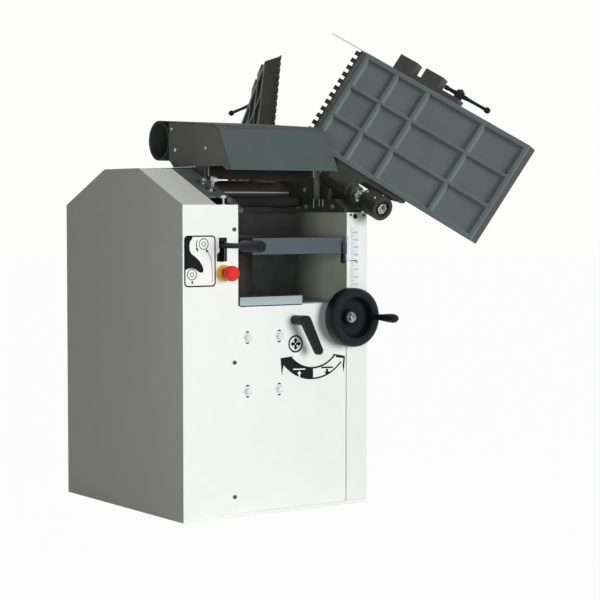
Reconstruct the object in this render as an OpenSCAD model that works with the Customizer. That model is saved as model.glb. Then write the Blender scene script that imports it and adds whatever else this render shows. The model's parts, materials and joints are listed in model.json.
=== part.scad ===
// Combination planer thicknesser: floor-standing cabinet, cutting head, rising bed and two folding tables.
// Millimetres. Origin on the floor under the middle of the cabinet, +X to the right of the
// operator, +Y to the back, +Z up. The tables are drawn open, as they stand for thicknessing.

/* [Cabinet] */
// Width of the cabinet across its front
cab_w = 584; // [576:1:600]
// Depth of the cabinet from front to back
cab_d = 624; // [612:1:650]
// Height of the drive cover's front edge
cover_h = 810; // [802:1:814]
// Height of the drive cover's flat ridge
ridge_h = 906; // [898:1:907]
// Depth of the drive cover's flat ridge
ridge_d = 184; // [174:1:194]
// Width of the drive cover's sloping top
cover_top_w = 102; // [98:1:106]
// Width of the drive cover's front
cover_w = 167; // [164:1:170]
// Width of the right column's front
column_w = 68; // [65:1:70]
// Height of the walls under the cutting head
wall_h = 790; // [786:1:794]
// Height of the front and rear panels
panel_h = 548; // [540:1:552]
// Thickness of the sheet covers
sheet_t = 2; // [1.5:0.5:3]
// Thickness of the two side walls
wall_t = 8; // [6:1:10]
// Thickness of the front and rear panels
panel_t = 6; // [5:0.5:7]
// Thickness of the base plate
base_t = 10; // [8:1:14]
// Diameter of the floor anchor holes
anchor_d = 13; // [10:0.5:16]

/* [Cutting head] */
// Height of the cutterblock axis above the walls
block_rise = 51; // [50:0.5:52]
// Diameter of the cutterblock
block_d = 72; // [68:0.5:73]
// Diameter of the cutterblock shaft
block_shaft_d = 30; // [26:1:32]
// Outer diameter of the cutterblock bearings
bearing_d = 62; // [56:1:66]
// Thickness of the bearing walls
head_t = 30; // [26:1:34]
// Diameter of the feed rollers
roller_d = 30; // [26:0.5:31]
// Distance of the feed rollers from the cutterblock axis
roller_out = 75; // [72:1:80]
// Diameter of the feed roller shafts
roller_shaft_d = 16; // [12:1:18]

/* [Tables] */
// Length of each planing table
table_l = 602; // [570:1:630]
// Width of the planing tables
table_w = 292; // [286:1:298]
// Thickness of the planing tables
table_t = 40; // [37:1:41]
// Depth of the cells under the planing tables
cell_depth = 10; // [6:1:16]
// Opening angle of the front table
table_open = 115.4; // [108:0.1:118]
// Opening angle of the rear table
rear_open = 109; // [106:0.1:118]
// Turn of the rear clamp lever away from its table's edge
rear_lever_turn = 35; // [0:1:45]
// Tilt of the hinge axes
hinge_tilt = 20.43; // [19:0.01:22]
// Diameter of the hinge pins
hinge_pin_d = 24; // [18:1:28]
// Diameter of the hinge barrels
barrel_d = 50; // [44:1:54]
// Length of the hinge barrels
barrel_l = 106; // [98:1:112]

/* [Bed] */
// Width of the thicknessing bed
bed_w = 300; // [290:1:310]
// Length of the thicknessing bed
bed_l = 600; // [560:1:604]
// Depth of the thicknessing bed's casting
bed_t = 43; // [38:1:46]
// Gap between bed and cutterblock at rest
throat = 82; // [80:1:90]
// Diameter of the lifting column
lift_d = 80; // [72:1:84]
// Diameter of the lifting screw
screw_d = 24; // [18:1:26]

/* [Hood] */
// Width of the chip hood over its end plates
hood_w = 344; // [326:1:346]
// Thickness of the hood's sheet
hood_t = 2.5; // [2:0.5:4]
// Radius of the hood's rear scroll
scroll_r = 55; // [50:1:56]

/* [Drive] */
// Diameter of the motor's casing
motor_d = 156; // [140:1:164]
// Length of the motor's casing
motor_l = 230; // [216:1:250]
// Height of the motor shaft over its feet
motor_foot_h = 90; // [87:1:94]
// Diameter of the motor pulley
motor_pulley_d = 120; // [100:1:130]
// Diameter of the cutterblock pulley
block_pulley_d = 84; // [70:1:90]

/* [Controls] */
// Diameter of the handwheel
wheel_d = 158; // [148:1:160]
// Diameter of the emergency stop button
stop_d = 40; // [36:1:42]
// Length of the feed lever outside the cover
lever_l = 188; // [160:1:200]
// Diameter of the feed lever's rod
lever_d = 14; // [12:0.5:15]
// Length of the bed lock lever's arm
lock_arm_l = 90; // [70:1:100]

/* [Hidden] */
$fn = 64;

// Shared clearances
over = 1;
run_fit = 0.05;
face_gap = 0.3;
belt_gap = 0.4;
screw_fit = 0.25;

// Cabinet places
x_left = -cab_w / 2;
x_right = cab_w / 2;
y_front = -cab_d / 2;
x_cover = x_left + cover_w;
x_cover_top = x_left + cover_top_w;
x_column = x_right - column_w;
right_wall_in = 20;
x_wall_r = x_column + right_wall_in;
panel_set_back = 4;
y_panel = y_front + panel_set_back;
y_panel_in = y_panel + panel_t;
flange_w = 22;
flange_drop = 30;
top_flange_d = 50;
anchor_in = 60;
cover_screw_in = 13;
cover_screw_shares = [0.067, 0.498, 0.922];
screw_head_d = 12;
screw_head_t = 3;
screw_d_small = 6;

// Cutting head places
block_z = wall_h + block_rise;
block_r = block_d / 2;
head_in_y = 22;
bearing_in = 1;
shaft_in = 3;
y_head = y_front + head_in_y;
head_shoulder = 36;
head_nose = 10;
head_nose_d = 46;
head_top = wall_h + head_shoulder;
boss_r = 60;
left_web_t = 14;
right_web_t = 20;
right_web_ys = [130, 150];
right_web_slope = 14;
right_web_up = 65;
right_head_in = 8;
x_head_r = x_column + right_head_in;
x_head_l = x_cover + head_t;
roller_drop = 1;
roller_z = block_z - block_r - roller_drop + roller_d / 2;
bush_wall = 6;
bush_r = roller_shaft_d / 2 + bush_wall;
roller_boss_r = bush_r + bush_wall;
roof_t = 5;
roof_in = 52;
stud_x_out = 27;
stud_backs = [28, 79, 121];
stud_lens = [24, 35, 14];
stud_d = 8;
stud_head_d = 15;
stud_head_t = 8;

// Planing table places
side_gap = 3;
x_tab1 = x_head_r - side_gap;
x_tab0 = x_tab1 - table_w;
table_drop = 1;
tab_top = block_z + block_r - table_drop;
tab_z = tab_top - table_t;
lip_root = 42;
lip_bar = 12;
lip_tip = 21;
lip_t = 8;
tooth_t = 4;
nose_run = 34;
nose_flat = 10;
lip_teeth = 13;
tooth_share = 0.62;
rim_w = 14;
rib_w = 10;
cell_shares = [[0.08, 0.238], [0.261, 0.419], [0.443, 0.739], [0.76, 0.975]];
cell_rows = 3;
hinge_out = 52;
hinge_in = 150;
hinge_y = cab_d / 2 - hinge_in;
hinge_rise = 44.2;
hinge = [x_tab1 + hinge_out, -hinge_y, block_z + hinge_rise];
lug_t = 20;
lug_gap = 3;
lug_r = 22;
lug_rear_drop = 72;
lug_front_drop = 44;
lug_wall_t = 9;
pin_tail = 42;
nut_t = 14;
nut_d = 38;
cap_d = 66;
cap_l = 70;
cap_at = 179;
cap_recess = 12;
cap_recess_d = 44;
pin_in = 1;
arm_t = 30;
arm_in = 4;
arm_short = 14;
arm_spread = 44;
bracket_at = 125;
horn_w = 60;
notch_w = 30;
bracket_l = 225;
bracket_base = 14;
bracket_out = 44;
bracket_in = 3;
clamp_at = 335;
clamp_hub_d = 25;
clamp_hub_l = 24;
clamp_stud_d = 10;
clamp_stud_nut = 4;
clamp_short = 50;
clamp_long = 95;
clamp_arm_d = 12;
clamp_ball_d = 17;
strip_t = 3;
strip_h = 14;
strip_gap = 0.5;
strip_past = 112;
strip_on = 110;

// Cutterblock places
block_in = 1;
x_block0 = x_tab0 + block_in;
x_block1 = x_tab1 - block_in;
block_flats = 3;
knife_t = 3;
knife_seat = 12;
knife_proud = 0.5;

// Drive places
pulley_out = 52;
pulley_w = 36;
x_pulley1 = x_left + pulley_out + pulley_w;
x_pulley0 = x_left + pulley_out;
pulley_end = 8;
belt_side = 4;
belt_t = 6;
motor_drop = 152;
motor_in = 81.5;
motor_x = x_cover + motor_in;
motor_z = panel_h - motor_drop;
motor_y = y_panel_in + motor_foot_h;
motor_fwd = 64.5;
motor_shaft_d = 24;
motor_shaft_in = 60;
motor_hole_d = 40;
foot_sx = 100;
foot_sz = 140;
foot_rim = 15;
foot_t = 16;
foot_neck = 90;
motor_bolt_d = 10;
motor_bolt_head_d = 18;
motor_bolt_head_t = 6;
washer_d = 24;
washer_t = 2;
slot_w = 12;
slot_h = 34;
chain_in = 18;
chain_w = 8;
x_chain1 = x_cover - chain_in;
x_chain0 = x_chain1 - chain_w;
sprocket_r = 40;
chain_t = 5;

// Bed and lift places
bed_z = block_z - block_r - throat;
x_bed1 = x_block1;
x_bed0 = x_bed1 - bed_w;
x_lift = (x_bed0 + x_bed1) / 2;
bed_top_t = 14;
bed_skirt = 14;
bed_boss_r = 50;
lift_r = lift_d / 2;
lift_l = 350;
lift_bore_d = 32;
nut_l = 30;
bore_top = 10;
pillar_wall = 12;
pillar_z = 60;
pillar_drop = 48;
pillar_top = panel_h - pillar_drop;
pillar_flange = 35;
pillar_flange_t = 12;
pillar_leg_d = 16;
pillar_leg_in = 10;
screw_drop = 20;
screw_top = pillar_top - screw_drop;
sprocket2_r = 18;
sprocket2_z = 30;
sprocket2_w = 8;
tray_t = 3;
tray_gap = 0.5;
tray_lip = 22;
tray_lip_l = 197;
tray_hole_gap = 2;
pointer_h = 70;
pointer_up = 4;
pointer_w = 18;
pointer_t = 3;
pointer_stand = 5;
pointer_arm = 8;
pointer_clear = 2;
scale_in = 12;
scale_w = 25;
scale_t = 1;
scale_top_drop = 34;
scale_l = 280;

// Handwheel places
wheel_in = 11;
wheel_drop = 38;
wheel_x = x_column - wheel_in;
wheel_z = panel_h - wheel_drop;
wheel_shaft_d = 16;
gear_depth = 46;
y_gear = y_panel + gear_depth;
gear_near = 11;
gear_far = 20;
gear_gap = 0.4;
rim_front = 68;
rim_back = 23;
rim_in = 20;
rim_slope = 8;
web_t = 6;
web_back = 26;
hub_r = 20;
hub_back = 10;
hub_front = 40;
wheel_nut_d = 22;
wheel_nut_t = 7;
crank_r = 60;
crank_l = 92;
crank_d0 = 15;
crank_d1 = 24;
crank_pin_d = 8;
crank_boss_d = 20;
crank_swell_shares = [0.55, 0.8, 0.95];
crank_swell = 1.5;
stub_bear_low = 100;
stub_bear_drop = 70;
stub_bear_zs = [stub_bear_low, wheel_z - stub_bear_drop];
stub_bear_h = 24;
stub_bear_w = 24;

// Control places
stop_in = 45;
stop_drop = 175;
stop_stem_d = 22;
stop_stem_in = 14;
stop_head_l = 22;
stop_neck_d = 26;
stop_neck_l = 6;
collar_d = 42;
collar_t = 12;
stop_stand = 52;
lever_in = 50;
lever_drop = 84;
cover_over_wall = 20;
lever_z = min(cover_h - cover_over_wall, wall_h) - lever_drop;
lever_deep = 182;
lever_eye_d = 28;
lever_eye_w = 20;
lever_pin_d = 12;
lever_pin_past = 6;
grip_d = 28;
grip_l = 91;
gate_w = 30;
gate_h = 61;
gate_top = 20;
gate_t = 1.5;
gate_slot_w = 18;
gate_slot_up = 10;
gate_slot_down = 42;
lock_in = 179;
lock_drop = 41;
lock_hub_d = 25;
lock_hub_l = 60;
lock_shaft_d = 16;
lock_shaft_in = 14;
lock_arm_w0 = 25;
lock_arm_w1 = 20;
lock_arm_t = 15;
lock_angle = 27;

// Hood places, in side view from the cutterblock axis
hood_in = 5;
x_hood0 = x_cover + hood_in;
x_hood1 = x_hood0 + hood_w;
hood_foot = [-273, 60];
hood_bend_1 = [-213, 168];
hood_bend_2 = [-182, 181];
scroll_c = [94, 146];
scroll_from = 100;
scroll_tip = -150;
scroll_steps = 40;
hood_inner = [hood_foot + [hood_t, 0], hood_bend_1 + [hood_t, -hood_t / 2], hood_bend_2 + [0, -hood_t]];
scroll_start = scroll_c + (scroll_r - hood_t) * [cos(scroll_from), sin(scroll_from)];
end_back = 40;
baffle_y = -160;
baffle_low = 44;
baffle_high = 150;
end_bottom = 71;
end_foot_w = 24;
end_step = 20;
pad_y0 = 105;
pad_y1 = 150;
pad_in = 24;
tab_w = 36;
tab_reach = 40;
tab_t = 6;
tab_up = 67;
port_wall = 4;
port_gap = 0.4;
port_l = 30;

// A block between two opposite corners
module block(lo, hi) {
    translate(lo) cube(hi - lo);
}

// Round bars along X, Y and Z, from one end to the other
module bar_x(x0, x1, y, z, d) {
    translate([x0, y, z]) rotate([0, 90, 0]) cylinder(d = d, h = x1 - x0);
}
module bar_y(y0, y1, x, z, d) {
    translate([x, y1, z]) rotate([90, 0, 0]) cylinder(d = d, h = y1 - y0);
}
module bar_z(z0, z1, x, y, d) {
    translate([x, y, z0]) cylinder(d = d, h = z1 - z0);
}

// A side-view outline in Y and Z, extruded along X
module side_profile(x0, x1) {
    translate([x0, 0, 0]) rotate([90, 0, 90]) linear_extrude(height = x1 - x0) children();
}

// The same thing at the front and mirrored to the back
module front_and_back() {
    children();
    mirror([0, 1, 0]) children();
}

// A closed loop of belt or chain round two wheels, as a flat outline
module loop_outline(c1, r1, c2, r2, thick) {
    difference() {
        hull() {
            translate(c1) circle(r = r1 + thick);
            translate(c2) circle(r = r2 + thick);
        }
        hull() {
            translate(c1) circle(r = r1);
            translate(c2) circle(r = r2);
        }
    }
}

// Frame of the front table's hinge: Y along the pin, its start at the barrel's rear end
module on_hinge() {
    translate(hinge) rotate([hinge_tilt, 0, 0]) children();
}

// Swings what is drawn on the closed front table open by an angle
module opened(angle) {
    translate(hinge) rotate([hinge_tilt, 0, 0]) rotate([0, angle, 0])
        rotate([-hinge_tilt, 0, 0]) translate(-hinge) children();
}

// A bar along the hinge pin between two distances from the barrel's rear end, towards the front
module hinge_bar(s0, s1, d, sides = 64) {
    on_hinge() translate([0, -s0, 0]) rotate([90, 0, 0]) cylinder(d = d, h = s1 - s0, $fn = sides);
}

// Height of the drive cover's sloping top at a distance from the middle
function slope_z(y) = ridge_h - (ridge_h - cover_h) * (y - ridge_d / 2) / (cab_d / 2 - ridge_d / 2);

// Outline of the drive cover seen from the side, drawn in by a wall
module cover_outline(wall) {
    polygon([
        [y_front + wall, base_t],
        [y_front + wall, cover_h - wall],
        [-ridge_d / 2, ridge_h - wall],
        [ridge_d / 2, ridge_h - wall],
        [-y_front - wall, cover_h - wall],
        [-y_front - wall, base_t]
    ]);
}

module base_plinth() {
    color("whitesmoke") difference() {
        block([x_left, y_front, 0], [x_right, -y_front, base_t]);
        for (x = [x_left + anchor_in, x_right - anchor_in], y = [y_front + anchor_in, -y_front - anchor_in])
            bar_z(-over, base_t + over, x, y, anchor_d);
    }
}

module left_wall() {
    color("dimgray") difference() {
        union() {
            block([x_cover, y_panel_in, base_t], [x_cover + wall_t, -y_panel_in, wall_h]);
            front_and_back() block([x_cover - flange_w, y_front + sheet_t, base_t],
                [x_cover, y_panel_in + wall_t, cover_h - flange_drop]);
        }
        bar_x(x_cover - over, x_cover + wall_t + over, motor_y, motor_z, motor_hole_d);
        for (share = cover_screw_shares)
            bar_y(y_front, y_panel_in, x_cover - cover_screw_in, cover_h * share, screw_d_small + run_fit);
        bar_x(x_cover - over, x_cover + wall_t + over, y_front + lever_deep, lever_z, lever_pin_d + run_fit);
    }
}

module right_wall() {
    color("darkgray") block([x_wall_r, y_panel_in, base_t], [x_wall_r + wall_t, -y_panel_in, wall_h]);
}

module drive_cover() {
    color("whitesmoke") difference() {
        union() {
            difference() {
                side_profile(x_left, x_cover_top) cover_outline(0);
                side_profile(x_left + sheet_t, x_cover_top + over) cover_outline(sheet_t);
            }
            front_and_back() {
                block([x_left, y_front, base_t], [x_cover, y_front + sheet_t, cover_h]);
                block([x_cover_top, y_front, cover_h - sheet_t], [x_cover, y_front + top_flange_d, cover_h]);
            }
        }
        block([x_left + sheet_t, y_front + sheet_t, 0],
            [x_cover_top + over, -y_front - sheet_t, base_t + over]);
        bar_y(y_front - over, y_front + sheet_t + over, x_cover - stop_in, cover_h - stop_drop,
            stop_stem_d + screw_fit);
        lever_slot(y_front - over, y_front + sheet_t + over);
        for (share = cover_screw_shares)
            bar_y(y_front - over, y_front + sheet_t + over, x_cover - cover_screw_in, cover_h * share,
                screw_d_small + run_fit);
    }
}

// The upright slot that the feed lever moves in
module lever_slot(y0, y1) {
    block([x_cover - lever_in - gate_slot_w / 2, y0, lever_z - gate_slot_down],
        [x_cover - lever_in + gate_slot_w / 2, y1, lever_z + gate_slot_up]);
}

module cover_screws() {
    color("dimgray") for (share = cover_screw_shares) {
        bar_y(y_front - screw_head_t, y_front, x_cover - cover_screw_in, cover_h * share, screw_head_d);
        bar_y(y_front, y_panel_in, x_cover - cover_screw_in, cover_h * share, screw_d_small);
    }
}

module front_panel() {
    color("whitesmoke") difference() {
        block([x_cover, y_panel, base_t], [x_wall_r + wall_t, y_panel_in, panel_h]);
        for (dx = [-foot_sx / 2, foot_sx / 2], dz = [-foot_sz / 2, foot_sz / 2])
            translate([motor_x + dx, y_panel - over, motor_z + dz]) motor_slot();
        bar_y(y_panel - over, y_panel_in + over, wheel_x, wheel_z, wheel_shaft_d + run_fit * 2);
        bar_y(y_panel - over, y_panel_in + over, x_cover + lock_in, panel_h - lock_drop,
            lock_shaft_d + run_fit * 2);
    }
}

// An upright slot for a motor bolt, through the front panel
module motor_slot() {
    reach = panel_t + over * 2;
    straight = (slot_h - slot_w) / 2;
    translate([-slot_w / 2, 0, -straight]) cube([slot_w, reach, straight * 2]);
    for (dz = [-straight, straight])
        translate([0, reach, dz]) rotate([90, 0, 0]) cylinder(d = slot_w, h = reach);
}

module rear_panel() {
    color("whitesmoke") block([x_cover, -y_panel_in, base_t], [x_wall_r + wall_t, -y_panel, panel_h]);
}

module right_cover() {
    color("whitesmoke") {
        block([x_right - sheet_t, y_front, base_t], [x_right, -y_front, wall_h]);
        front_and_back() block([x_column, y_front, base_t], [x_right, y_front + sheet_t, wall_h]);
    }
}

module chip_tray() {
    z1 = panel_h + tray_t;
    x0 = x_cover + wall_t + tray_gap;
    color("silver") difference() {
        union() {
            block([x0, y_panel, panel_h], [x_wall_r - tray_gap, -y_panel, z1]);
            front_and_back() block([x0, y_panel, panel_h],
                [x0 + tray_lip_l, y_panel + sheet_t, z1 + tray_lip]);
        }
        bar_z(panel_h - over, z1 + over, x_lift, 0, lift_d + tray_hole_gap * 2);
    }
}

// Outline of a bearing wall seen from the side
module head_outline() {
    polygon([
        [y_head, wall_h],
        [y_head, wall_h + head_nose],
        [y_head + head_nose_d, head_top],
        [-y_head - head_nose_d, head_top],
        [-y_head, wall_h + head_nose],
        [-y_head, wall_h]
    ]);
    difference() {
        translate([0, block_z]) circle(r = boss_r);
        translate([-boss_r, wall_h - boss_r]) square([boss_r * 2, boss_r]);
    }
    for (y = [-roller_out, roller_out])
        translate([y, roller_z]) circle(r = roller_boss_r);
}

// Bores of a bearing wall for the cutterblock and the two rollers
module head_bores(x0, x1) {
    bar_x(x0, x1, 0, block_z, bearing_d + run_fit * 2);
    for (y = [-roller_out, roller_out])
        bar_x(x0, x1, y, roller_z, (bush_r + run_fit) * 2);
}

// Outline of the left bearing wall's web, up to the slope of the roof
module roof_web() {
    y1 = cab_d / 2 - roof_in;
    polygon([
        [-y1, wall_h],
        [-y1, slope_z(y1) - roof_t],
        [-ridge_d / 2, ridge_h - roof_t],
        [ridge_d / 2, ridge_h - roof_t],
        [y1, slope_z(y1) - roof_t],
        [y1, wall_h]
    ]);
}

module left_head() {
    color([0.22, 0.22, 0.2]) {
        difference() {
            union() {
                side_profile(x_cover, x_head_l) head_outline();
                side_profile(x_cover, x_cover + left_web_t) roof_web();
            }
            head_bores(x_cover - over, x_head_l + over);
        }
        front_and_back() block([x_cover, pad_y0, head_top - over],
            [x_cover + pad_in, pad_y1, block_z + end_bottom]);
    }
}

// Outline of the web beside the right bearing, sloping down towards the hinge
module right_web() {
    polygon([
        [0, wall_h],
        [0, block_z + right_web_up],
        [right_web_ys[0], block_z + right_web_up],
        [right_web_ys[1], block_z + right_web_up - right_web_slope],
        [right_web_ys[1], wall_h]
    ]);
}

module right_head() {
    color([0.22, 0.22, 0.2]) {
        difference() {
            union() {
                side_profile(x_head_r, x_right) head_outline();
                block([x_head_r, -tab_w / 2, block_z], [x_head_r + tab_w / 2, tab_w / 2, block_z + tab_up]);
                front_and_back() {
                    side_profile(x_head_r, x_head_r + right_web_t) mirror([1, 0]) right_web();
                    hinge_lug(-lug_gap - lug_t, lug_rear_drop);
                    hinge_lug(barrel_l + lug_gap, lug_front_drop);
                    hinge_wall();
                }
            }
            head_bores(x_head_r - over, x_head_r + head_t);
            front_and_back() hinge_bar(-pin_tail, cap_at, hinge_pin_d + run_fit * 2);
        }
    }
}

// A lug that carries the hinge pin, from its rear face and down into the bearing wall
module hinge_lug(s, drop) {
    hinge_bar(s, s + lug_t, lug_r * 2);
    on_hinge() block([-lug_r / 2, -s - lug_t, -drop], [x_right - hinge[0], -s, 0]);
}

// The wall between the two lugs, under the barrel
module hinge_wall() {
    top = hinge[2] - (barrel_d / 2 + lug_gap) / cos(hinge_tilt);
    front = hinge[1] - (top - head_top) / tan(hinge_tilt);
    side_profile(x_right - lug_wall_t, x_right) polygon([
        [hinge[1], top],
        [hinge[1], wall_h],
        [front, wall_h],
        [front, head_top]
    ]);
}

module head_roof() {
    y1 = cab_d / 2 - roof_in;
    color([0.2, 0.2, 0.19]) difference() {
        side_profile(x_cover_top, x_cover) polygon([
            [-y1, slope_z(y1)],
            [-ridge_d / 2, ridge_h],
            [ridge_d / 2, ridge_h],
            [y1, slope_z(y1)],
            [y1, slope_z(y1) - roof_t],
            [ridge_d / 2, ridge_h - roof_t],
            [-ridge_d / 2, ridge_h - roof_t],
            [-y1, slope_z(y1) - roof_t]
        ]);
        for (i = [0 : len(stud_backs) - 1])
            bar_z(stud_z(i) - roof_t * 2, stud_z(i) + stud_lens[i], x_cover - stud_x_out,
                y_front + stud_backs[i], stud_d + run_fit * 2);
    }
}

// Height where a stud meets the top of the head
function stud_z(i) = stud_backs[i] < top_flange_d ? cover_h : slope_z(cab_d / 2 - stud_backs[i]);

module head_studs() {
    x = x_cover - stud_x_out;
    color("silver") for (i = [0 : len(stud_backs) - 1]) {
        z0 = stud_z(i) - (stud_backs[i] < top_flange_d ? 0 : roof_t);
        z1 = stud_z(i) + stud_lens[i];
        bar_z(z0, z1, x, y_front + stud_backs[i], stud_d);
        bar_z(z1 - stud_head_t, z1, x, y_front + stud_backs[i], stud_head_d);
    }
}

// A bearing ring along X
module ring_x(x0, x1, y, z, outer, inner) {
    difference() {
        bar_x(x0, x1, y, z, outer);
        bar_x(x0 - over, x1 + over, y, z, inner);
    }
}

module head_bearings() {
    color("silver") for (x = [x_cover, x_head_r]) {
        end = x + head_t - bearing_in;
        ring_x(x, end, 0, block_z, bearing_d, block_shaft_d + run_fit * 2);
        for (y = [-roller_out, roller_out])
            ring_x(x, end, y, roller_z, bush_r * 2, roller_shaft_d + run_fit * 2);
    }
}

module motor_housing() {
    x0 = motor_x - motor_fwd;
    color("slategray") difference() {
        union() {
            bar_x(x0, x0 + motor_l, motor_y, motor_z, motor_d);
            block([motor_x - foot_sx / 2 - foot_rim, y_panel_in, motor_z - foot_sz / 2 - foot_rim],
                [motor_x + foot_sx / 2 + foot_rim, y_panel_in + foot_t, motor_z + foot_sz / 2 + foot_rim]);
            block([motor_x - foot_sx / 2, y_panel_in, motor_z - foot_neck / 2],
                [motor_x + foot_sx / 2, motor_y - motor_d / 4, motor_z + foot_neck / 2]);
        }
        bar_x(x0 - over, x0 + motor_shaft_in, motor_y, motor_z, motor_shaft_d + run_fit * 2);
        for (dx = [-foot_sx / 2, foot_sx / 2], dz = [-foot_sz / 2, foot_sz / 2])
            bar_y(y_panel_in - over, y_panel_in + foot_t + over, motor_x + dx, motor_z + dz,
                motor_bolt_d + run_fit * 2);
    }
}

module motor_bolts() {
    color("silver") for (dx = [-foot_sx / 2, foot_sx / 2], dz = [-foot_sz / 2, foot_sz / 2]) {
        x = motor_x + dx;
        z = motor_z + dz;
        bar_y(y_panel - washer_t, y_panel, x, z, washer_d);
        translate([x, y_panel - washer_t, z]) rotate([90, 0, 0])
            cylinder(d = motor_bolt_head_d, h = motor_bolt_head_t, $fn = 6);
        bar_y(y_panel - washer_t, y_panel_in + foot_t, x, z, motor_bolt_d);
    }
}

module drive_belt() {
    color([0.12, 0.12, 0.12]) side_profile(x_pulley0 + belt_side, x_pulley1 - belt_side)
        loop_outline([motor_y, motor_z], motor_pulley_d / 2 + belt_gap,
            [0, block_z], block_pulley_d / 2 + belt_gap, belt_t);
}

module feed_chain() {
    color("dimgray") side_profile(x_chain0, x_chain1)
        loop_outline([-roller_out, roller_z], sprocket_r + belt_gap,
            [roller_out, roller_z], sprocket_r + belt_gap, chain_t);
}

module estop_collar() {
    color("gold") difference() {
        bar_y(y_front - collar_t, y_front, x_cover - stop_in, cover_h - stop_drop, collar_d);
        bar_y(y_front - collar_t - over, y_front + over, x_cover - stop_in, cover_h - stop_drop,
            stop_stem_d + run_fit * 2);
    }
}

module lever_gate() {
    z1 = lever_z + gate_top;
    color([0.08, 0.08, 0.08]) difference() {
        block([x_cover - lever_in - gate_w / 2, y_front - gate_t, z1 - gate_h],
            [x_cover - lever_in + gate_w / 2, y_front, z1]);
        lever_slot(y_front - gate_t - over, y_front + over);
    }
}

module lever_pivot_pin() {
    color("silver") bar_x(x_cover - lever_in - lever_eye_w / 2 - lever_pin_past, x_cover + wall_t,
        y_front + lever_deep, lever_z, lever_pin_d);
}

module thickness_scale() {
    z1 = wall_h - scale_top_drop;
    color("white") block([x_column + scale_in, y_front - scale_t, z1 - scale_l],
        [x_column + scale_in + scale_w, y_front, z1]);
}

module lift_pillar() {
    flange_r = lift_r + pillar_wall + pillar_flange;
    leg_r = flange_r - pillar_leg_in;
    color("dimgray") {
        difference() {
            union() {
                bar_z(pillar_z, pillar_top, x_lift, 0, (lift_r + pillar_wall) * 2);
                bar_z(pillar_z, pillar_z + pillar_flange_t, x_lift, 0, flange_r * 2);
            }
            bar_z(pillar_z - over, pillar_top + over, x_lift, 0, (lift_r + run_fit) * 2);
        }
        for (turn = [0, 90, 180])
            bar_z(base_t, pillar_z, x_lift + leg_r * cos(turn), leg_r * sin(turn), pillar_leg_d);
    }
}

module lift_chain() {
    color("dimgray") translate([0, 0, sprocket2_z]) linear_extrude(height = sprocket2_w)
        loop_outline([x_lift, 0], sprocket2_r + belt_gap, [wheel_x, y_gear], sprocket2_r + belt_gap, chain_t);
}

module stub_bearings() {
    color("dimgray") for (z = stub_bear_zs) difference() {
        block([wheel_x - stub_bear_w / 2, y_gear - stub_bear_w / 2, z],
            [x_wall_r, y_gear + stub_bear_w / 2, z + stub_bear_h]);
        bar_z(z - over, z + stub_bear_h + over, wheel_x, y_gear, wheel_shaft_d + run_fit * 2);
    }
}

module hinge_pins() {
    color("silver") front_and_back()
        hinge_bar(-pin_tail, cap_at + cap_l - pin_in, hinge_pin_d);
}

module hinge_nuts() {
    rear = -lug_gap - lug_t;
    front = barrel_l + lug_gap + lug_t;
    color("silver") front_and_back() for (s = [rear - nut_t, front]) difference() {
        hinge_bar(s, s + nut_t, nut_d, 6);
        hinge_bar(s - over, s + nut_t + over, hinge_pin_d + run_fit * 2);
    }
}

module hinge_caps() {
    color([0.07, 0.07, 0.08]) front_and_back() difference() {
        hinge_bar(cap_at, cap_at + cap_l, cap_d);
        hinge_bar(cap_at - over, cap_at + cap_l, hinge_pin_d + run_fit * 2);
        hinge_bar(cap_at + cap_l - cap_recess, cap_at + cap_l + over, cap_recess_d);
    }
}

// A planing table in its closed place, its cells open below
module closed_table() {
    cell_w = (table_w - rim_w * 2 - rib_w * (cell_rows - 1)) / cell_rows;
    difference() {
        side_profile(x_tab0, x_tab1) polygon([
            [-lip_root - table_l, tab_z],
            [-lip_root - table_l, tab_top],
            [-lip_root, tab_top],
            [-lip_root, tab_top - nose_flat],
            [-lip_root - nose_run, tab_z]
        ]);
        for (row = [0 : cell_rows - 1], share = cell_shares)
            block([x_tab0 + rim_w + row * (cell_w + rib_w), -lip_root - share[1] * table_l, tab_z - over],
                [x_tab0 + rim_w + row * (cell_w + rib_w) + cell_w, -lip_root - share[0] * table_l,
                    tab_z + cell_depth]);
    }
}

// The comb-edged lip on the closed table's inner end
module closed_lip() {
    pitch = table_w / lip_teeth;
    tooth = pitch * tooth_share;
    block([x_tab0, -lip_root, tab_top - lip_t], [x_tab1, -lip_root + lip_bar, tab_top]);
    for (i = [0 : lip_teeth - 1])
        block([x_tab0 + (i + 0.5) * pitch - tooth / 2, -lip_root, tab_top - tooth_t],
            [x_tab0 + (i + 0.5) * pitch + tooth / 2, -lip_tip, tab_top]);
}

// The arm and barrel that carry the closed table on its hinge pin
module closed_hinge_arm() {
    difference() {
        union() {
            hinge_bar(0, barrel_l, barrel_d);
            translate([0, 0, tab_z + arm_in]) linear_extrude(arm_t) polygon([
                [hinge[0], -hinge_y - arm_short],
                [x_tab1, -hinge_y - arm_short],
                [x_tab1, -hinge_y - barrel_l + arm_short - arm_spread],
                [hinge[0] - barrel_d / 2, -hinge_y - barrel_l + arm_short],
                [hinge[0], -hinge_y - barrel_l + arm_short]
            ]);
        }
        hinge_bar(-over - arm_t, barrel_l + arm_t, hinge_pin_d + run_fit * 2);
    }
}

// The fork on the closed table's free edge, with the stud of its clamp
module closed_lock_bracket() {
    z0 = tab_z + bracket_in;
    z1 = tab_top - bracket_in;
    y0 = -lip_root - bracket_at;
    block([x_tab0 - bracket_base, y0 - bracket_l, z0], [x_tab0, y0, z1]);
    for (at = [0, horn_w + notch_w])
        block([x_tab0 - bracket_out, y0 - at - horn_w, z0], [x_tab0, y0 - at, z1]);
    bar_x(x_tab0 - bracket_base - clamp_hub_l - clamp_stud_nut, x_tab0, -lip_root - clamp_at,
        (z0 + z1) / 2, clamp_stud_d);
}

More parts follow.
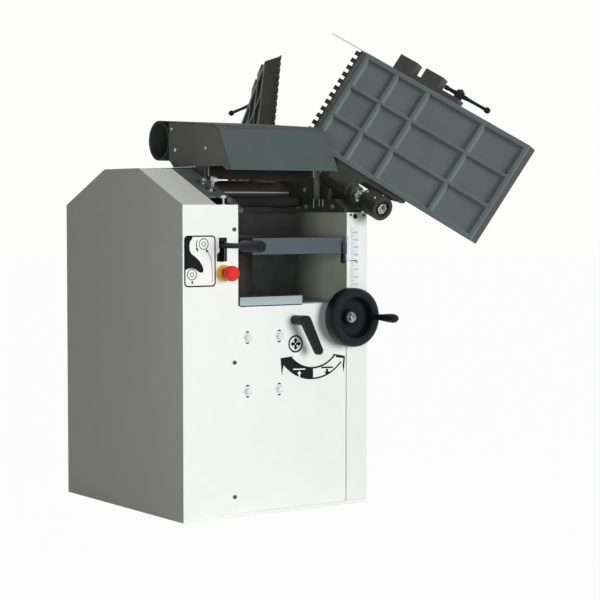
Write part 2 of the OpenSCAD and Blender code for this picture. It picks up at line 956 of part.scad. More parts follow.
// The clamp lever on that stud, turned away from the table's edge by an angle
module closed_clamp_lever(turn) {
    x1 = x_tab0 - bracket_base - face_gap;
    x = x1 - clamp_hub_l / 2;
    y = -lip_root - clamp_at;
    z = (tab_z + tab_top) / 2;
    translate([0, y, z]) rotate([turn, 0, 0]) translate([0, -y, -z]) difference() {
        union() {
            bar_x(x1 - clamp_hub_l, x1, y, z, clamp_hub_d);
            bar_y(y - clamp_long, y + clamp_short, x, z, clamp_arm_d);
            translate([x, y - clamp_long, z]) sphere(d = clamp_ball_d);
        }
        bar_x(x1 - clamp_hub_l - over, x1 + over, y, z, clamp_stud_d + run_fit * 2);
    }
}

// The thin strip along the closed front table's free edge
module closed_side_strip() {
    block([x_tab0 - strip_gap - strip_t, -lip_root - strip_on, tab_top - strip_h],
        [x_tab0 - strip_gap, -lip_root + strip_past, tab_top]);
}

module front_table() {
    color([0.33, 0.36, 0.38]) opened(table_open) closed_table();
}
module front_lip() {
    color([0.25, 0.26, 0.26]) opened(table_open) closed_lip();
}
module front_hinge_arm() {
    color([0.22, 0.22, 0.2]) opened(table_open) closed_hinge_arm();
}
module front_lock_bracket() {
    color([0.27, 0.27, 0.26]) opened(table_open) closed_lock_bracket();
}
module front_side_strip() {
    color("lightgray") opened(table_open) closed_side_strip();
}
module front_clamp_lever() {
    color([0.08, 0.08, 0.09]) opened(table_open) closed_clamp_lever(0);
}
module rear_table() {
    color([0.33, 0.36, 0.38]) mirror([0, 1, 0]) opened(rear_open) closed_table();
}
module rear_lip() {
    color([0.25, 0.26, 0.26]) mirror([0, 1, 0]) opened(rear_open) closed_lip();
}
module rear_hinge_arm() {
    color([0.22, 0.22, 0.2]) mirror([0, 1, 0]) opened(rear_open) closed_hinge_arm();
}
module rear_lock_bracket() {
    color([0.27, 0.27, 0.26]) mirror([0, 1, 0]) opened(rear_open) closed_lock_bracket();
}
module rear_clamp_lever() {
    color([0.08, 0.08, 0.09]) mirror([0, 1, 0]) opened(rear_open) closed_clamp_lever(rear_lever_turn);
}

// Points of the scroll's arc from its start round the back to its tip
function scroll_arc(r, steps) = [
    for (i = [0 : steps])
        let (a = scroll_from + (scroll_tip - scroll_from) * i / steps)
        scroll_c + r * [cos(a), sin(a)]
];

module hood_sheet() {
    steps = scroll_steps;
    outer = concat([hood_foot, hood_bend_1, hood_bend_2], scroll_arc(scroll_r, steps));
    arc = scroll_arc(scroll_r - hood_t, steps);
    inner = concat([for (i = [steps : -1 : 0]) arc[i]],
        [for (i = [len(hood_inner) - 1 : -1 : 0]) hood_inner[i]]);
    color([0.33, 0.37, 0.36]) translate([0, 0, block_z])
        side_profile(x_hood0, x_hood1) polygon(concat(outer, inner));
}

// Outline of a hood end plate, from the cutterblock axis, seated under the sheet
module hood_end_outline() {
    bend = hood_inner[2];
    rise = (scroll_start[1] - bend[1]) / (scroll_start[0] - bend[0]);
    polygon(concat(hood_inner, [
        [end_back, bend[1] + (end_back - bend[0]) * rise],
        [end_back, scroll_c[1] - scroll_r],
        [end_back - end_foot_w, end_bottom],
        [hood_foot[0] + end_foot_w + end_step, end_bottom],
        [hood_foot[0] + end_foot_w, hood_foot[1]]
    ]));
}

module hood_ends() {
    color([0.26, 0.26, 0.25]) translate([0, 0, block_z]) {
        for (x = [x_hood0, x_hood1 - hood_t])
            side_profile(x, x + hood_t) hood_end_outline();
        block([x_hood0, baffle_y, baffle_low], [x_hood1, baffle_y + hood_t, baffle_high]);
        block([x_hood1 - hood_t, -tab_w / 2, tab_up], [x_hood1 + tab_reach, tab_w / 2, tab_up + tab_t]);
    }
}

module hood_port() {
    outer = (scroll_r - hood_t - port_gap) * 2;
    color([0.2, 0.2, 0.2]) ring_x(x_hood0, x_hood0 + port_l, scroll_c[0], block_z + scroll_c[1],
        outer, outer - port_wall * 2);
}

module cutterblock() {
    color("silver") difference() {
        union() {
            bar_x(x_block0, x_block1, 0, block_z, block_d);
            bar_x(x_pulley0 - pulley_end, x_head_r + head_t - shaft_in, 0, block_z, block_shaft_d);
        }
        for (i = [0 : block_flats - 1])
            translate([x_block0, 0, block_z]) rotate([i * 360 / block_flats, 0, 0])
                block([-over, -knife_t / 2, block_r - knife_seat],
                    [x_block1 - x_block0 + over, knife_t / 2, block_r + over]);
    }
}

module cutter_knives() {
    color("gainsboro") for (i = [0 : block_flats - 1])
        translate([x_block0, 0, block_z]) rotate([i * 360 / block_flats, 0, 0])
            block([0, -knife_t / 2, block_r - knife_seat],
                [x_block1 - x_block0, knife_t / 2, block_r + knife_proud]);
}

// A pulley with a bore for its shaft
module pulley(y, z, d, bore) {
    ring_x(x_pulley0, x_pulley1, y, z, d, bore + run_fit);
}

module cutter_pulley() {
    color("gray") pulley(0, block_z, block_pulley_d, block_shaft_d);
}

module motor_shaft() {
    color("silver") bar_x(x_pulley0 - pulley_end, motor_x - motor_fwd + motor_shaft_in - bearing_in,
        motor_y, motor_z, motor_shaft_d);
}

module motor_pulley() {
    color("gray") pulley(motor_y, motor_z, motor_pulley_d, motor_shaft_d);
}

// A feed roller with its shaft and chain wheel
module roller(y) {
    bar_x(x_block0, x_block1, y, roller_z, roller_d);
    bar_x(x_chain0, x_head_r + head_t - shaft_in, y, roller_z, roller_shaft_d);
    bar_x(x_chain0, x_chain1, y, roller_z, sprocket_r * 2);
}

module front_roller() {
    color("gray") roller(-roller_out);
}

module rear_roller() {
    color("gray") roller(roller_out);
}

module bed_table() {
    color([0.35, 0.37, 0.41]) {
        difference() {
            block([x_bed0, -bed_l / 2, bed_z - bed_t], [x_bed1, bed_l / 2, bed_z]);
            block([x_bed0 + bed_skirt, -bed_l / 2 + bed_skirt, bed_z - bed_t - over],
                [x_bed1 - bed_skirt, bed_l / 2 - bed_skirt, bed_z - bed_top_t]);
        }
        bar_z(bed_z - bed_t, bed_z - bed_top_t, x_lift, 0, bed_boss_r * 2);
    }
}

module bed_column() {
    z1 = bed_z - bed_t;
    z0 = z1 - lift_l;
    color("silver") difference() {
        bar_z(z0, z1, x_lift, 0, lift_d);
        bar_z(z0 - over, z1 - bore_top, x_lift, 0, screw_d + run_fit * 2);
        bar_z(z0 + nut_l, z1 - bore_top, x_lift, 0, lift_bore_d);
    }
}

module bed_pointer() {
    x0 = x_column - pointer_clear - pointer_arm;
    y0 = min(y_front - pointer_stand, -bed_l / 2) - pointer_t;
    z1 = bed_z + pointer_up;
    color("lightblue") {
        block([x0, y0, z1 - pointer_h], [x0 + pointer_w, y0 + pointer_t, z1]);
        block([x0, y0, bed_z - bed_t], [x0 + pointer_arm, -bed_l / 2, bed_z - bed_top_t]);
    }
}

module lift_screw() {
    color("silver") {
        bar_z(base_t + face_gap, screw_top, x_lift, 0, screw_d);
        bar_z(sprocket2_z, sprocket2_z + sprocket2_w, x_lift, 0, sprocket2_r * 2);
    }
}

// A bevel gear blank: a cone cut square at both ends, its tip where the two axes cross
module bevel() {
    translate([0, 0, -gear_far])
        cylinder(r1 = gear_far - gear_gap, r2 = gear_near - gear_gap, h = gear_far - gear_near);
}

module lift_stub_shaft() {
    color("silver") {
        bar_z(base_t + face_gap, wheel_z - gear_far, wheel_x, y_gear, wheel_shaft_d);
        bar_z(sprocket2_z, sprocket2_z + sprocket2_w, wheel_x, y_gear, sprocket2_r * 2);
        translate([wheel_x, y_gear, wheel_z]) bevel();
    }
}

module handwheel_shaft() {
    color("silver") {
        bar_y(y_panel - hub_front - wheel_nut_t, y_gear - gear_far, wheel_x, wheel_z, wheel_shaft_d);
        translate([wheel_x, y_gear, wheel_z]) rotate([-90, 0, 0]) bevel();
        translate([wheel_x, y_panel - hub_front, wheel_z]) rotate([90, 0, 0])
            cylinder(d = wheel_nut_d, h = wheel_nut_t, $fn = 6);
    }
}

module handwheel() {
    r = wheel_d / 2;
    color([0.12, 0.13, 0.15]) {
        translate([wheel_x, y_panel, wheel_z]) rotate([90, 0, 0]) rotate_extrude() polygon([
            [wheel_shaft_d / 2 + run_fit, hub_back],
            [hub_r, hub_back],
            [hub_r, web_back - web_t],
            [r - rim_in, rim_back],
            [r - web_t / 2, rim_back],
            [r, rim_back + web_t / 2],
            [r, rim_front - rim_slope],
            [r - rim_slope, rim_front],
            [r - rim_in, rim_front],
            [r - rim_in - web_t, rim_front - web_t],
            [r - rim_in - web_t, rim_back + web_t],
            [hub_r, web_back],
            [hub_r, hub_front],
            [wheel_shaft_d / 2 + run_fit, hub_front]
        ]);
        bar_y(y_panel - rim_front - crank_l - face_gap, y_panel - rim_front, wheel_x + crank_r, wheel_z,
            crank_pin_d);
        bar_y(y_panel - rim_front, y_panel - rim_back - web_t, wheel_x + crank_r, wheel_z, crank_boss_d);
    }
}

module crank_handle() {
    color([0.08, 0.08, 0.09]) translate([wheel_x + crank_r, y_panel - rim_front - face_gap, wheel_z])
        rotate([90, 0, 0]) rotate_extrude() polygon([
            [crank_pin_d / 2 + run_fit, 0],
            [crank_d0 / 2, 0],
            [crank_d1 / 2 - crank_swell, crank_l * crank_swell_shares[0]],
            [crank_d1 / 2, crank_l * crank_swell_shares[1]],
            [crank_d1 / 2 - crank_swell, crank_l * crank_swell_shares[2]],
            [crank_d0 / 2, crank_l],
            [crank_pin_d / 2 + run_fit, crank_l]
        ]);
}

module feed_lever() {
    x = x_cover - lever_in;
    y = y_front + lever_deep;
    z = lever_z;
    color([0.08, 0.08, 0.09]) difference() {
        union() {
            bar_y(y_front - lever_l, y, x, z, lever_d);
            bar_y(y_front - lever_l, y_front - lever_l + grip_l, x, z, grip_d);
            bar_x(x - lever_eye_w / 2, x + lever_eye_w / 2, y, z, lever_eye_d);
        }
        bar_x(x - lever_eye_w / 2 - over, x + lever_eye_w / 2 + over, y, z, lever_pin_d + run_fit * 2);
    }
}

module lock_lever() {
    x = x_cover + lock_in;
    z = panel_h - lock_drop;
    y1 = y_panel - face_gap;
    y0 = y1 - lock_hub_l;
    color([0.08, 0.08, 0.09]) {
        bar_y(y0, y1, x, z, lock_hub_d);
        bar_y(y1 - over, y_panel_in + lock_shaft_in, x, z, lock_shaft_d);
        translate([x, y0 + lock_arm_t, z]) rotate([90, 0, 0]) hull() {
            cylinder(d = lock_arm_w0, h = lock_arm_t);
            rotate([0, 0, lock_angle]) translate([0, -lock_arm_l, 0])
                cylinder(d = lock_arm_w1, h = lock_arm_t);
        }
    }
}

module estop_button() {
    x = x_cover - stop_in;
    z = cover_h - stop_drop;
    y0 = y_front - stop_stand;
    color("crimson") {
        bar_y(y0, y0 + stop_head_l, x, z, stop_d);
        bar_y(y0, y0 + stop_head_l + stop_neck_l, x, z, stop_neck_d);
        bar_y(y0, y_front + stop_stem_in, x, z, stop_stem_d);
    }
}

base_plinth();
left_wall();
right_wall();
drive_cover();
cover_screws();
front_panel();
rear_panel();
right_cover();
chip_tray();
left_head();
right_head();
head_roof();
head_studs();
head_bearings();
motor_housing();
motor_bolts();
drive_belt();
feed_chain();
estop_collar();
lever_gate();
lever_pivot_pin();
thickness_scale();
lift_pillar();
lift_chain();
stub_bearings();
hinge_pins();
hinge_nuts();
hinge_caps();
front_table();
front_lip();
front_hinge_arm();
front_lock_bracket();
front_side_strip();
front_clamp_lever();
rear_table();
rear_lip();
rear_hinge_arm();
rear_lock_bracket();
rear_clamp_lever();
hood_sheet();
hood_ends();
hood_port();
cutterblock();
cutter_knives();
cutter_pulley();
motor_shaft();
motor_pulley();
front_roller();
rear_roller();
bed_table();
bed_column();
bed_pointer();
lift_screw();
lift_stub_shaft();
handwheel();
handwheel_shaft();
crank_handle();
feed_lever();
lock_lever();
estop_button();
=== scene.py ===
# Looks of the combination planer thicknesser: finishes, signs, small fittings, light and camera.
# Places are in millimetres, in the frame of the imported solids, and piece() turns them into metres.
import json
import math

import bmesh
import bpy
from mathutils import Matrix, Vector


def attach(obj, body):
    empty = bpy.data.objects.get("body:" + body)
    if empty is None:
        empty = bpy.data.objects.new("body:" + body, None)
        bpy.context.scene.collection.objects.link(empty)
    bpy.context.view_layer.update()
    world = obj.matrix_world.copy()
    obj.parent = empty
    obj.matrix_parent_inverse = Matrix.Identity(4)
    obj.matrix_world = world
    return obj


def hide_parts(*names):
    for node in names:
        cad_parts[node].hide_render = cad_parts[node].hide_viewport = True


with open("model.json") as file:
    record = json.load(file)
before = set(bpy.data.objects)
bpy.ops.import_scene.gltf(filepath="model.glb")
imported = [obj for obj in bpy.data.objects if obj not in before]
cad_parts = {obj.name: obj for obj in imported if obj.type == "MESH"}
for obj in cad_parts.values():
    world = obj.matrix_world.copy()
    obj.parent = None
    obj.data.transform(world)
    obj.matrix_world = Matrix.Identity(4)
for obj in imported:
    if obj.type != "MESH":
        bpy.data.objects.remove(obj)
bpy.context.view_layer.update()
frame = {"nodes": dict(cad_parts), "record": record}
nodes = frame["nodes"]
scene = bpy.context.scene
MM = 0.001

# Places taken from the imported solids
Y_COVER = -312.0
Y_PANEL = -308.0
HINGE = Vector((281.0, -162.0, 885.2))
HINGE_TILT = math.radians(20.43)
FRONT_OPEN = math.radians(115.4)
REAR_OPEN = math.radians(109.0)
TABLE_X0 = -63.0
TABLE_X1 = 229.0
TABLE_TOP = 876.0
TABLE_END = -644.0
TABLE_MID_X = (TABLE_X0 + TABLE_X1) / 2.0
TABLE_MID_Z = 856.0
WHEEL = (213.0, Y_PANEL, 510.0)
CRANK = (273.0, -376.3, 510.0)
LOCK = (54.0, Y_PANEL, 507.0)
MOTOR_X = -43.5
MOTOR_Z = 396.0
MOTOR_BOLTS = [(MOTOR_X + dx, MOTOR_Z + dz) for dx in (-50.0, 50.0) for dz in (-70.0, 70.0)]
STOP = (-170.0, Y_COVER, 635.0)
LEVER = (-175.0, Y_COVER, 706.0)


def srgb(red, green, blue):
    """Linear colour of an 8-bit screen colour."""
    def one(v):
        v /= 255.0
        return v / 12.92 if v <= 0.04045 else ((v + 0.055) / 1.055) ** 2.4
    return (one(red), one(green), one(blue), 1.0)


def scaled(colour, factor):
    """A colour made lighter or darker."""
    return tuple(min(1.0, c * factor) for c in colour[:3]) + (1.0,)


# Materials
def add_node(tree, kind, settings=None, **inputs):
    """A shader node with its settings and the values of its sockets."""
    made = tree.nodes.new(kind)
    for key, value in (settings or {}).items():
        setattr(made, key, value)
    for key, value in inputs.items():
        made.inputs[key.replace("_", " ")].default_value = value
    return made


def noise(tree, size_mm, detail=3.0, stretch=(1.0, 1.0, 1.0)):
    """Noise of a given grain size, fixed to the object."""
    place = add_node(tree, "ShaderNodeTexCoord")
    warp = add_node(tree, "ShaderNodeMapping")
    warp.inputs["Scale"].default_value = stretch
    made = add_node(tree, "ShaderNodeTexNoise", Scale=1000.0 / size_mm, Detail=detail, Roughness=0.55)
    tree.links.new(place.outputs["Object"], warp.inputs["Vector"])
    tree.links.new(warp.outputs["Vector"], made.inputs["Vector"])
    return made.outputs["Fac"]


def ramp(tree, source, low, high, from_low=0.3, from_high=0.7):
    """A socket's value carried over to another range."""
    made = add_node(tree, "ShaderNodeMapRange", From_Min=from_low, From_Max=from_high, To_Min=low, To_Max=high)
    tree.links.new(source, made.inputs["Value"])
    return made.outputs["Result"]


def mixed(tree, factor, first, second):
    """Two colours, or a socket and a colour, mixed by a factor."""
    made = add_node(tree, "ShaderNodeMix", {"data_type": "RGBA"})
    tree.links.new(factor, made.inputs["Factor"])
    for socket, value in ((made.inputs[6], first), (made.inputs[7], second)):
        if isinstance(value, tuple):
            socket.default_value = value
        else:
            tree.links.new(value, socket)
    return made.outputs[2]


def edge_mask(tree, width_mm):
    """High along convex and concave edges, broken up by noise: the mask for the edge colours, mostly painted
    highlights.
    """
    rounded = add_node(tree, "ShaderNodeBevel", {"samples": 4}, Radius=width_mm * MM)
    flat = add_node(tree, "ShaderNodeNewGeometry")
    dot = add_node(tree, "ShaderNodeVectorMath", {"operation": "DOT_PRODUCT"})
    tree.links.new(rounded.outputs["Normal"], dot.inputs[0])
    tree.links.new(flat.outputs["Normal"], dot.inputs[1])
    edge = ramp(tree, dot.outputs["Value"], 1.0, 0.0, 0.9, 0.995)
    broken = ramp(tree, noise(tree, 9.0, 5.0), 0.25, 1.0)
    made = add_node(tree, "ShaderNodeMath", {"operation": "MULTIPLY"})
    tree.links.new(edge, made.inputs[0])
    tree.links.new(broken, made.inputs[1])
    return made.outputs["Value"]


def surface(name, colour, rough, mottle=0.05, mottle_mm=90.0, grain=0.12, grain_mm=1.4, rough_spread=0.07,
            metal=0.0, stretch=(1.0, 1.0, 1.0), edge=None, edge_mm=1.6, dust=None, shine=0.5, shade_fade=None):
    """A finish with cloudy colour, fine bump, uneven gloss and, if asked, an edge colour, dust specks or painted shade
    that darkens it along Y; edge colours are mostly painted highlights, with some wear, and on plated_steel a painted
    shadow outline.
    """
    made = bpy.data.materials.new(name)
    made.use_nodes = True
    tree = made.node_tree
    shader = tree.nodes["Principled BSDF"]
    shader.inputs["Metallic"].default_value = metal
    shader.inputs["Specular IOR Level"].default_value = shine
    cloud = ramp(tree, noise(tree, mottle_mm, 4.0, stretch), 0.0, 1.0)
    base = mixed(tree, cloud, scaled(colour, 1.0 - mottle), scaled(colour, 1.0 + mottle))
    # Painted shade: the colour darkens along Y towards a far colour.
    if shade_fade is not None:
        far, y_near, y_far = shade_fade
        place = add_node(tree, "ShaderNodeTexCoord")
        split = add_node(tree, "ShaderNodeSeparateXYZ")
        tree.links.new(place.outputs["Object"], split.inputs["Vector"])
        base = mixed(tree, ramp(tree, split.outputs["Y"], 0.0, 1.0, y_near * MM, y_far * MM), base, far)
    if dust is not None:
        specks = ramp(tree, noise(tree, 5.0, 6.0), 0.0, 0.35, 0.52, 0.75)
        base = mixed(tree, specks, base, dust)
    if edge is not None:
        base = mixed(tree, edge_mask(tree, edge_mm), base, edge)
    tree.links.new(base, shader.inputs["Base Color"])
    gloss = ramp(tree, noise(tree, mottle_mm * 0.4, 4.0, stretch), rough - rough_spread, rough + rough_spread)
    tree.links.new(gloss, shader.inputs["Roughness"])
    bump = add_node(tree, "ShaderNodeBump", Strength=grain, Distance=0.3 * MM)
    tree.links.new(noise(tree, grain_mm, 3.0, stretch), bump.inputs["Height"])
    tree.links.new(bump.outputs["Normal"], shader.inputs["Normal"])
    return made


def clear_plastic():
    """Slightly milky clear plastic with uneven gloss."""
    made = surface("clear_plastic", srgb(232, 240, 242), 0.1, mottle=0.02, grain=0.03, rough_spread=0.05)
    shader = made.node_tree.nodes["Principled BSDF"]
    shader.inputs["Transmission Weight"].default_value = 0.94
    shader.inputs["IOR"].default_value = 1.06
    return made


BRUSHED_X = (0.05, 1.0, 1.0)
mats = {
    "white_paint": surface("white_paint", srgb(238, 240, 237), 0.42, mottle=0.015, grain=0.10, grain_mm=2.2,
                           edge=srgb(244, 245, 243), edge_mm=1.2, shine=0.3),
    # Painted shade: grey_paint turns dark grey from Y -180 mm towards Y -50 mm and stays dark behind it, on the rear of
    # the wall that lies in shade.
    "grey_paint": surface("grey_paint", srgb(236, 240, 220), 0.5, mottle=0.05, grain=0.10, shine=0.25,
                          shade_fade=(srgb(50, 52, 51), -180.0, -50.0)),
    "dark_paint": surface("dark_paint", srgb(86, 97, 95), 0.6, mottle=0.05, grain=0.16, grain_mm=1.6,
                          edge=srgb(112, 121, 119), shine=0.1),
    # Painted light: the hood end paint is a lighter copy of the hood's dark paint, for faces turned to the left, which
    # the lamps light only weakly; its edges are darker.
    "hood_end_lit_paint": surface("hood_end_lit_paint", srgb(148, 148, 143), 0.6, mottle=0.05, grain=0.16, grain_mm=1.6,
                              edge=srgb(132, 134, 130), shine=0.1),
    "dark_casting": surface("dark_casting", srgb(80, 82, 75), 0.55, mottle=0.1, mottle_mm=40.0, grain=0.35,
                            grain_mm=2.6, edge=srgb(86, 88, 81), edge_mm=2.2, dust=srgb(72, 72, 65), shine=0.2),
    # Painted light: table_paint is a lighter copy of the hood's dark paint, and its lighter edge colour is a painted
    # highlight on the ribs.
    "table_paint": surface("table_paint", srgb(118, 129, 131), 0.5, mottle=0.07, mottle_mm=150.0, grain=0.2,
                           grain_mm=2.0, edge=srgb(136, 147, 149), edge_mm=2.0, shine=0.3),
    # rear_table_paint stays near the hood's dark paint, without that painted light, and with a fainter painted edge
    # highlight.
    "rear_table_paint": surface("rear_table_paint", srgb(92, 98, 99), 0.5, mottle=0.07, mottle_mm=150.0, grain=0.2,
                                grain_mm=2.0, edge=srgb(98, 104, 105), edge_mm=2.0, shine=0.3),
    "table_edge": surface("table_edge", srgb(77, 77, 74), 0.55, mottle=0.08, grain=0.25, grain_mm=2.0,
                          edge=srgb(98, 100, 97), edge_mm=1.6, shine=0.25),
    "bed_iron": surface("bed_iron", srgb(81, 89, 97), 0.45, mottle=0.06, mottle_mm=60.0, grain=0.08,
                        grain_mm=1.0, stretch=BRUSHED_X, edge=srgb(130, 138, 146), shine=0.3),
    "tool_steel": surface("tool_steel", srgb(70, 66, 63), 0.5, mottle=0.1, mottle_mm=25.0, grain=0.1,
                          grain_mm=1.0, metal=0.5, edge=srgb(140, 140, 142)),
    "bright_steel": surface("bright_steel", srgb(196, 198, 200), 0.26, mottle=0.06, mottle_mm=14.0, grain=0.06,
                            grain_mm=0.7, metal=1.0, edge=srgb(232, 234, 236), edge_mm=0.8),
    # Painted shadow: plated_steel's dark edge colour draws a shadow outline round the washers and bolt heads.
    "plated_steel": surface("plated_steel", srgb(230, 232, 234), 0.34, mottle=0.06, mottle_mm=9.0, grain=0.06,
                            grain_mm=0.7, metal=0.25, edge=srgb(112, 114, 116), edge_mm=1.0),
    "brushed_steel": surface("brushed_steel", srgb(168, 184, 188), 0.42, mottle=0.1, mottle_mm=30.0, grain=0.1,
                             grain_mm=1.2, stretch=BRUSHED_X, metal=0.4),
    "pulley_alloy": surface("pulley_alloy", srgb(150, 152, 152), 0.35, mottle=0.08, mottle_mm=20.0, grain=0.1,
                            metal=0.9, edge=srgb(196, 198, 198)),
    "belt_rubber": surface("belt_rubber", srgb(34, 34, 34), 0.75, mottle=0.15, mottle_mm=20.0, grain=0.3),
    "black_plastic": surface("black_plastic", srgb(27, 29, 34), 0.4, mottle=0.08, mottle_mm=25.0, grain=0.12,
                             grain_mm=0.9, edge=srgb(46, 48, 53), edge_mm=1.2, shine=0.16),
    "cap_black": surface("cap_black", srgb(58, 59, 55), 0.45, mottle=0.08, mottle_mm=25.0, grain=0.14, grain_mm=1.2,
                         edge=srgb(64, 65, 62), edge_mm=1.6, shine=0.2),
    # Painted shade: inside_dark is a near black for parts deep inside the machine, the feed rollers and a face inside
    # the hood.
    "inside_dark": surface("inside_dark", srgb(40, 39, 37), 0.7, mottle=0.1, mottle_mm=60.0, grain=0.2, shine=0.1),
    "stop_yellow": surface("stop_yellow", srgb(250, 204, 62), 0.36, mottle=0.03, grain=0.05),
    "stop_red": surface("stop_red", srgb(224, 34, 30), 0.3, mottle=0.04, mottle_mm=12.0, grain=0.04),
    "scale_white": surface("scale_white", srgb(232, 236, 240), 0.35, mottle=0.015, grain=0.03),
    "sign_white": surface("sign_white", srgb(240, 241, 240), 0.35, mottle=0.015, grain=0.03),
    "sign_dark": surface("sign_dark", srgb(18, 21, 25), 0.45, mottle=0.06, mottle_mm=15.0, grain=0.04, shine=0.15),
    # Painted shadow: the seam grey stands for the shadow beside the step between drive cover and front panel.
    "seam_shadow_grey": surface("seam_shadow_grey", srgb(206, 210, 214), 0.5, mottle=0.04, mottle_mm=30.0, grain=0.05, shine=0.2),
    "sign_grey": surface("sign_grey", srgb(120, 126, 128), 0.4, mottle=0.05, mottle_mm=15.0, grain=0.04),
    "clear_plastic": clear_plastic(),
}
SLOT_OF = {row["node"]: row["material_slot"] for row in frame["record"]["subparts"]}
# The hood's end plates take the lighter end paint (painted light), the feed rollers the near-black inside finish
# (painted shade), the rear table a darker copy of the table paint.
NODE_FINISH = {"hood_ends": "hood_end_lit_paint", "cutterblock": "tool_steel", "front_roller": "inside_dark",
               "rear_roller": "inside_dark", "chip_tray": "brushed_steel", "front_lock_bracket": "table_edge",
               "rear_lock_bracket": "table_edge", "bed_column": "tool_steel", "handwheel_shaft": "tool_steel",
               "hinge_caps": "cap_black", "rear_table": "rear_table_paint"}
NODE_BEVEL = {"drive_cover": 1.0, "right_cover": 0.9, "front_panel": 1.0, "rear_panel": 1.0, "base_plinth": 1.0,
              "left_head": 3.0, "right_head": 3.0, "head_roof": 1.0, "front_table": 2.2, "rear_table": 2.2,
              "front_hinge_arm": 3.0, "rear_hinge_arm": 3.0,
              "front_lock_bracket": 3.0, "rear_lock_bracket": 3.0, "front_side_strip": 0.6, "hood_sheet": 0.5,
              "hood_ends": 0.6, "bed_table": 2.0, "chip_tray": 0.7, "hinge_caps": 2.5,
              "hinge_nuts": 1.0, "estop_collar": 1.5, "lever_gate": 0.4, "cover_screws": 0.6,
              "motor_housing": 4.0, "lift_pillar": 1.5, "hood_port": 0.8, "thickness_scale": 0.2,
              "cutter_pulley": 1.0, "motor_pulley": 1.0, "front_roller": 0.8, "rear_roller": 0.8}


def soften(thing, width_mm, segments=2):
    """Rounded edges and clean shading, by modifiers alone."""
    weld = thing.modifiers.new("weld", "WELD")
    weld.merge_threshold = 0.01 * MM
    flats = thing.modifiers.new("flats", "DECIMATE")
    flats.decimate_type = "DISSOLVE"
    flats.angle_limit = math.radians(0.5)
    bevel = thing.modifiers.new("bevel", "BEVEL")
    bevel.width = width_mm * MM
    bevel.segments = segments
    bevel.limit_method = "ANGLE"
    bevel.angle_limit = math.radians(32.0)
    shade = thing.modifiers.new("shade", "WEIGHTED_NORMAL")
    shade.keep_sharp = True


for node_name, thing in nodes.items():
    slot_name = SLOT_OF[node_name]
    for material_slot in thing.material_slots:
        material_slot.material = mats[NODE_FINISH.get(node_name, slot_name)]
    if node_name in NODE_BEVEL:
        soften(thing, NODE_BEVEL[node_name])


# Mesh pieces
def piece(name, mesh, finish, body, stands_for=None, bevel_mm=None, sharp=35.0):
    """Turns a bmesh in millimetres into a piece that rides on a body."""
    bmesh.ops.recalc_face_normals(mesh, faces=mesh.faces)
    bmesh.ops.scale(mesh, vec=(MM, MM, MM), verts=mesh.verts)
    data = bpy.data.meshes.new(name)
    mesh.to_mesh(data)
    mesh.free()
    for face in data.polygons:
        face.use_smooth = True
    data.set_sharp_from_angle(angle=math.radians(sharp))
    data.materials.append(mats[finish])
    thing = bpy.data.objects.new(name, data)
    scene.collection.objects.link(thing)
    if bevel_mm:
        bevel = thing.modifiers.new("bevel", "BEVEL")
        bevel.width = bevel_mm * MM
        bevel.segments = 3
        bevel.limit_method = "ANGLE"
        bevel.angle_limit = math.radians(sharp)
    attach(thing, body)
    if stands_for:
        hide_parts(stands_for)
    return thing


def facing(origin, axis, up=(0.0, 0.0, 1.0)):
    """A frame whose Z runs along an axis and whose Y is as near up as it can be."""
    z = Vector(axis).normalized()
    x = Vector(up).cross(z)
    if x.length < 1e-6:
        x = Vector((1.0, 0.0, 0.0))
    x.normalize()
    y = z.cross(x)
    turn = Matrix((x, y, z)).transposed().to_4x4()
    return Matrix.Translation(Vector(origin)) @ turn


FRONT = (0.0, -1.0, 0.0)


def lathe(mesh, profile, place, steps=56, closed=False):
    """Turns a profile of radius and height round the Z axis of a place."""
    rings = []
    for radius, height in profile:
        if radius < 1e-6:
            rings.append([mesh.verts.new(place @ Vector((0.0, 0.0, height)))])
            continue
        ring = []
        for i in range(steps):
            a = 2.0 * math.pi * i / steps
            ring.append(mesh.verts.new(place @ Vector((radius * math.cos(a), radius * math.sin(a), height))))
        rings.append(ring)
    pairs = list(zip(rings, rings[1:]))
    if closed:
        pairs.append((rings[-1], rings[0]))
    for low, high in pairs:
        for i in range(steps):
            j = (i + 1) % steps
            if len(low) == 1 and len(high) == 1:
                continue
            if len(low) == 1:
                mesh.faces.new((low[0], high[i], high[j]))
            elif len(high) == 1:
                mesh.faces.new((low[i], low[j], high[0]))
            else:
                mesh.faces.new((low[i], low[j], high[j], high[i]))


def prism(mesh, outline, place, low, high):
    """A flat outline raised between two heights along the Z axis of a place."""
    bottom = [mesh.verts.new(place @ Vector((u, v, low))) for u, v in outline]
    top = [mesh.verts.new(place @ Vector((u, v, high))) for u, v in outline]
    mesh.faces.new(bottom)
    mesh.faces.new(top)
    count = len(outline)
    for i in range(count):
        j = (i + 1) % count
        mesh.faces.new((bottom[i], bottom[j], top[j], top[i]))


def band(mesh, inner, outer, place, low, high, closed=True):
    """A flat band between two outlines of as many points, raised along the Z axis of a place."""
    rows = []
    for outline, height in ((inner, low), (outer, low), (outer, high), (inner, high)):
        rows.append([mesh.verts.new(place @ Vector((u, v, height))) for u, v in outline])
    count = len(inner)
    last = count if closed else count - 1
    for first, second in zip(rows, rows[1:] + rows[:1]):
        for i in range(last):
            j = (i + 1) % count
            mesh.faces.new((first[i], first[j], second[j], second[i]))
    if not closed:
        mesh.faces.new([row[0] for row in rows])
        mesh.faces.new([row[-1] for row in rows])


def arc(cu, cv, radius, start, stop, steps):
    """Points on an arc, angles in degrees."""
    return [(cu + radius * math.cos(math.radians(start + (stop - start) * i / steps)),
             cv + radius * math.sin(math.radians(start + (stop - start) * i / steps)))
            for i in range(steps + 1)]


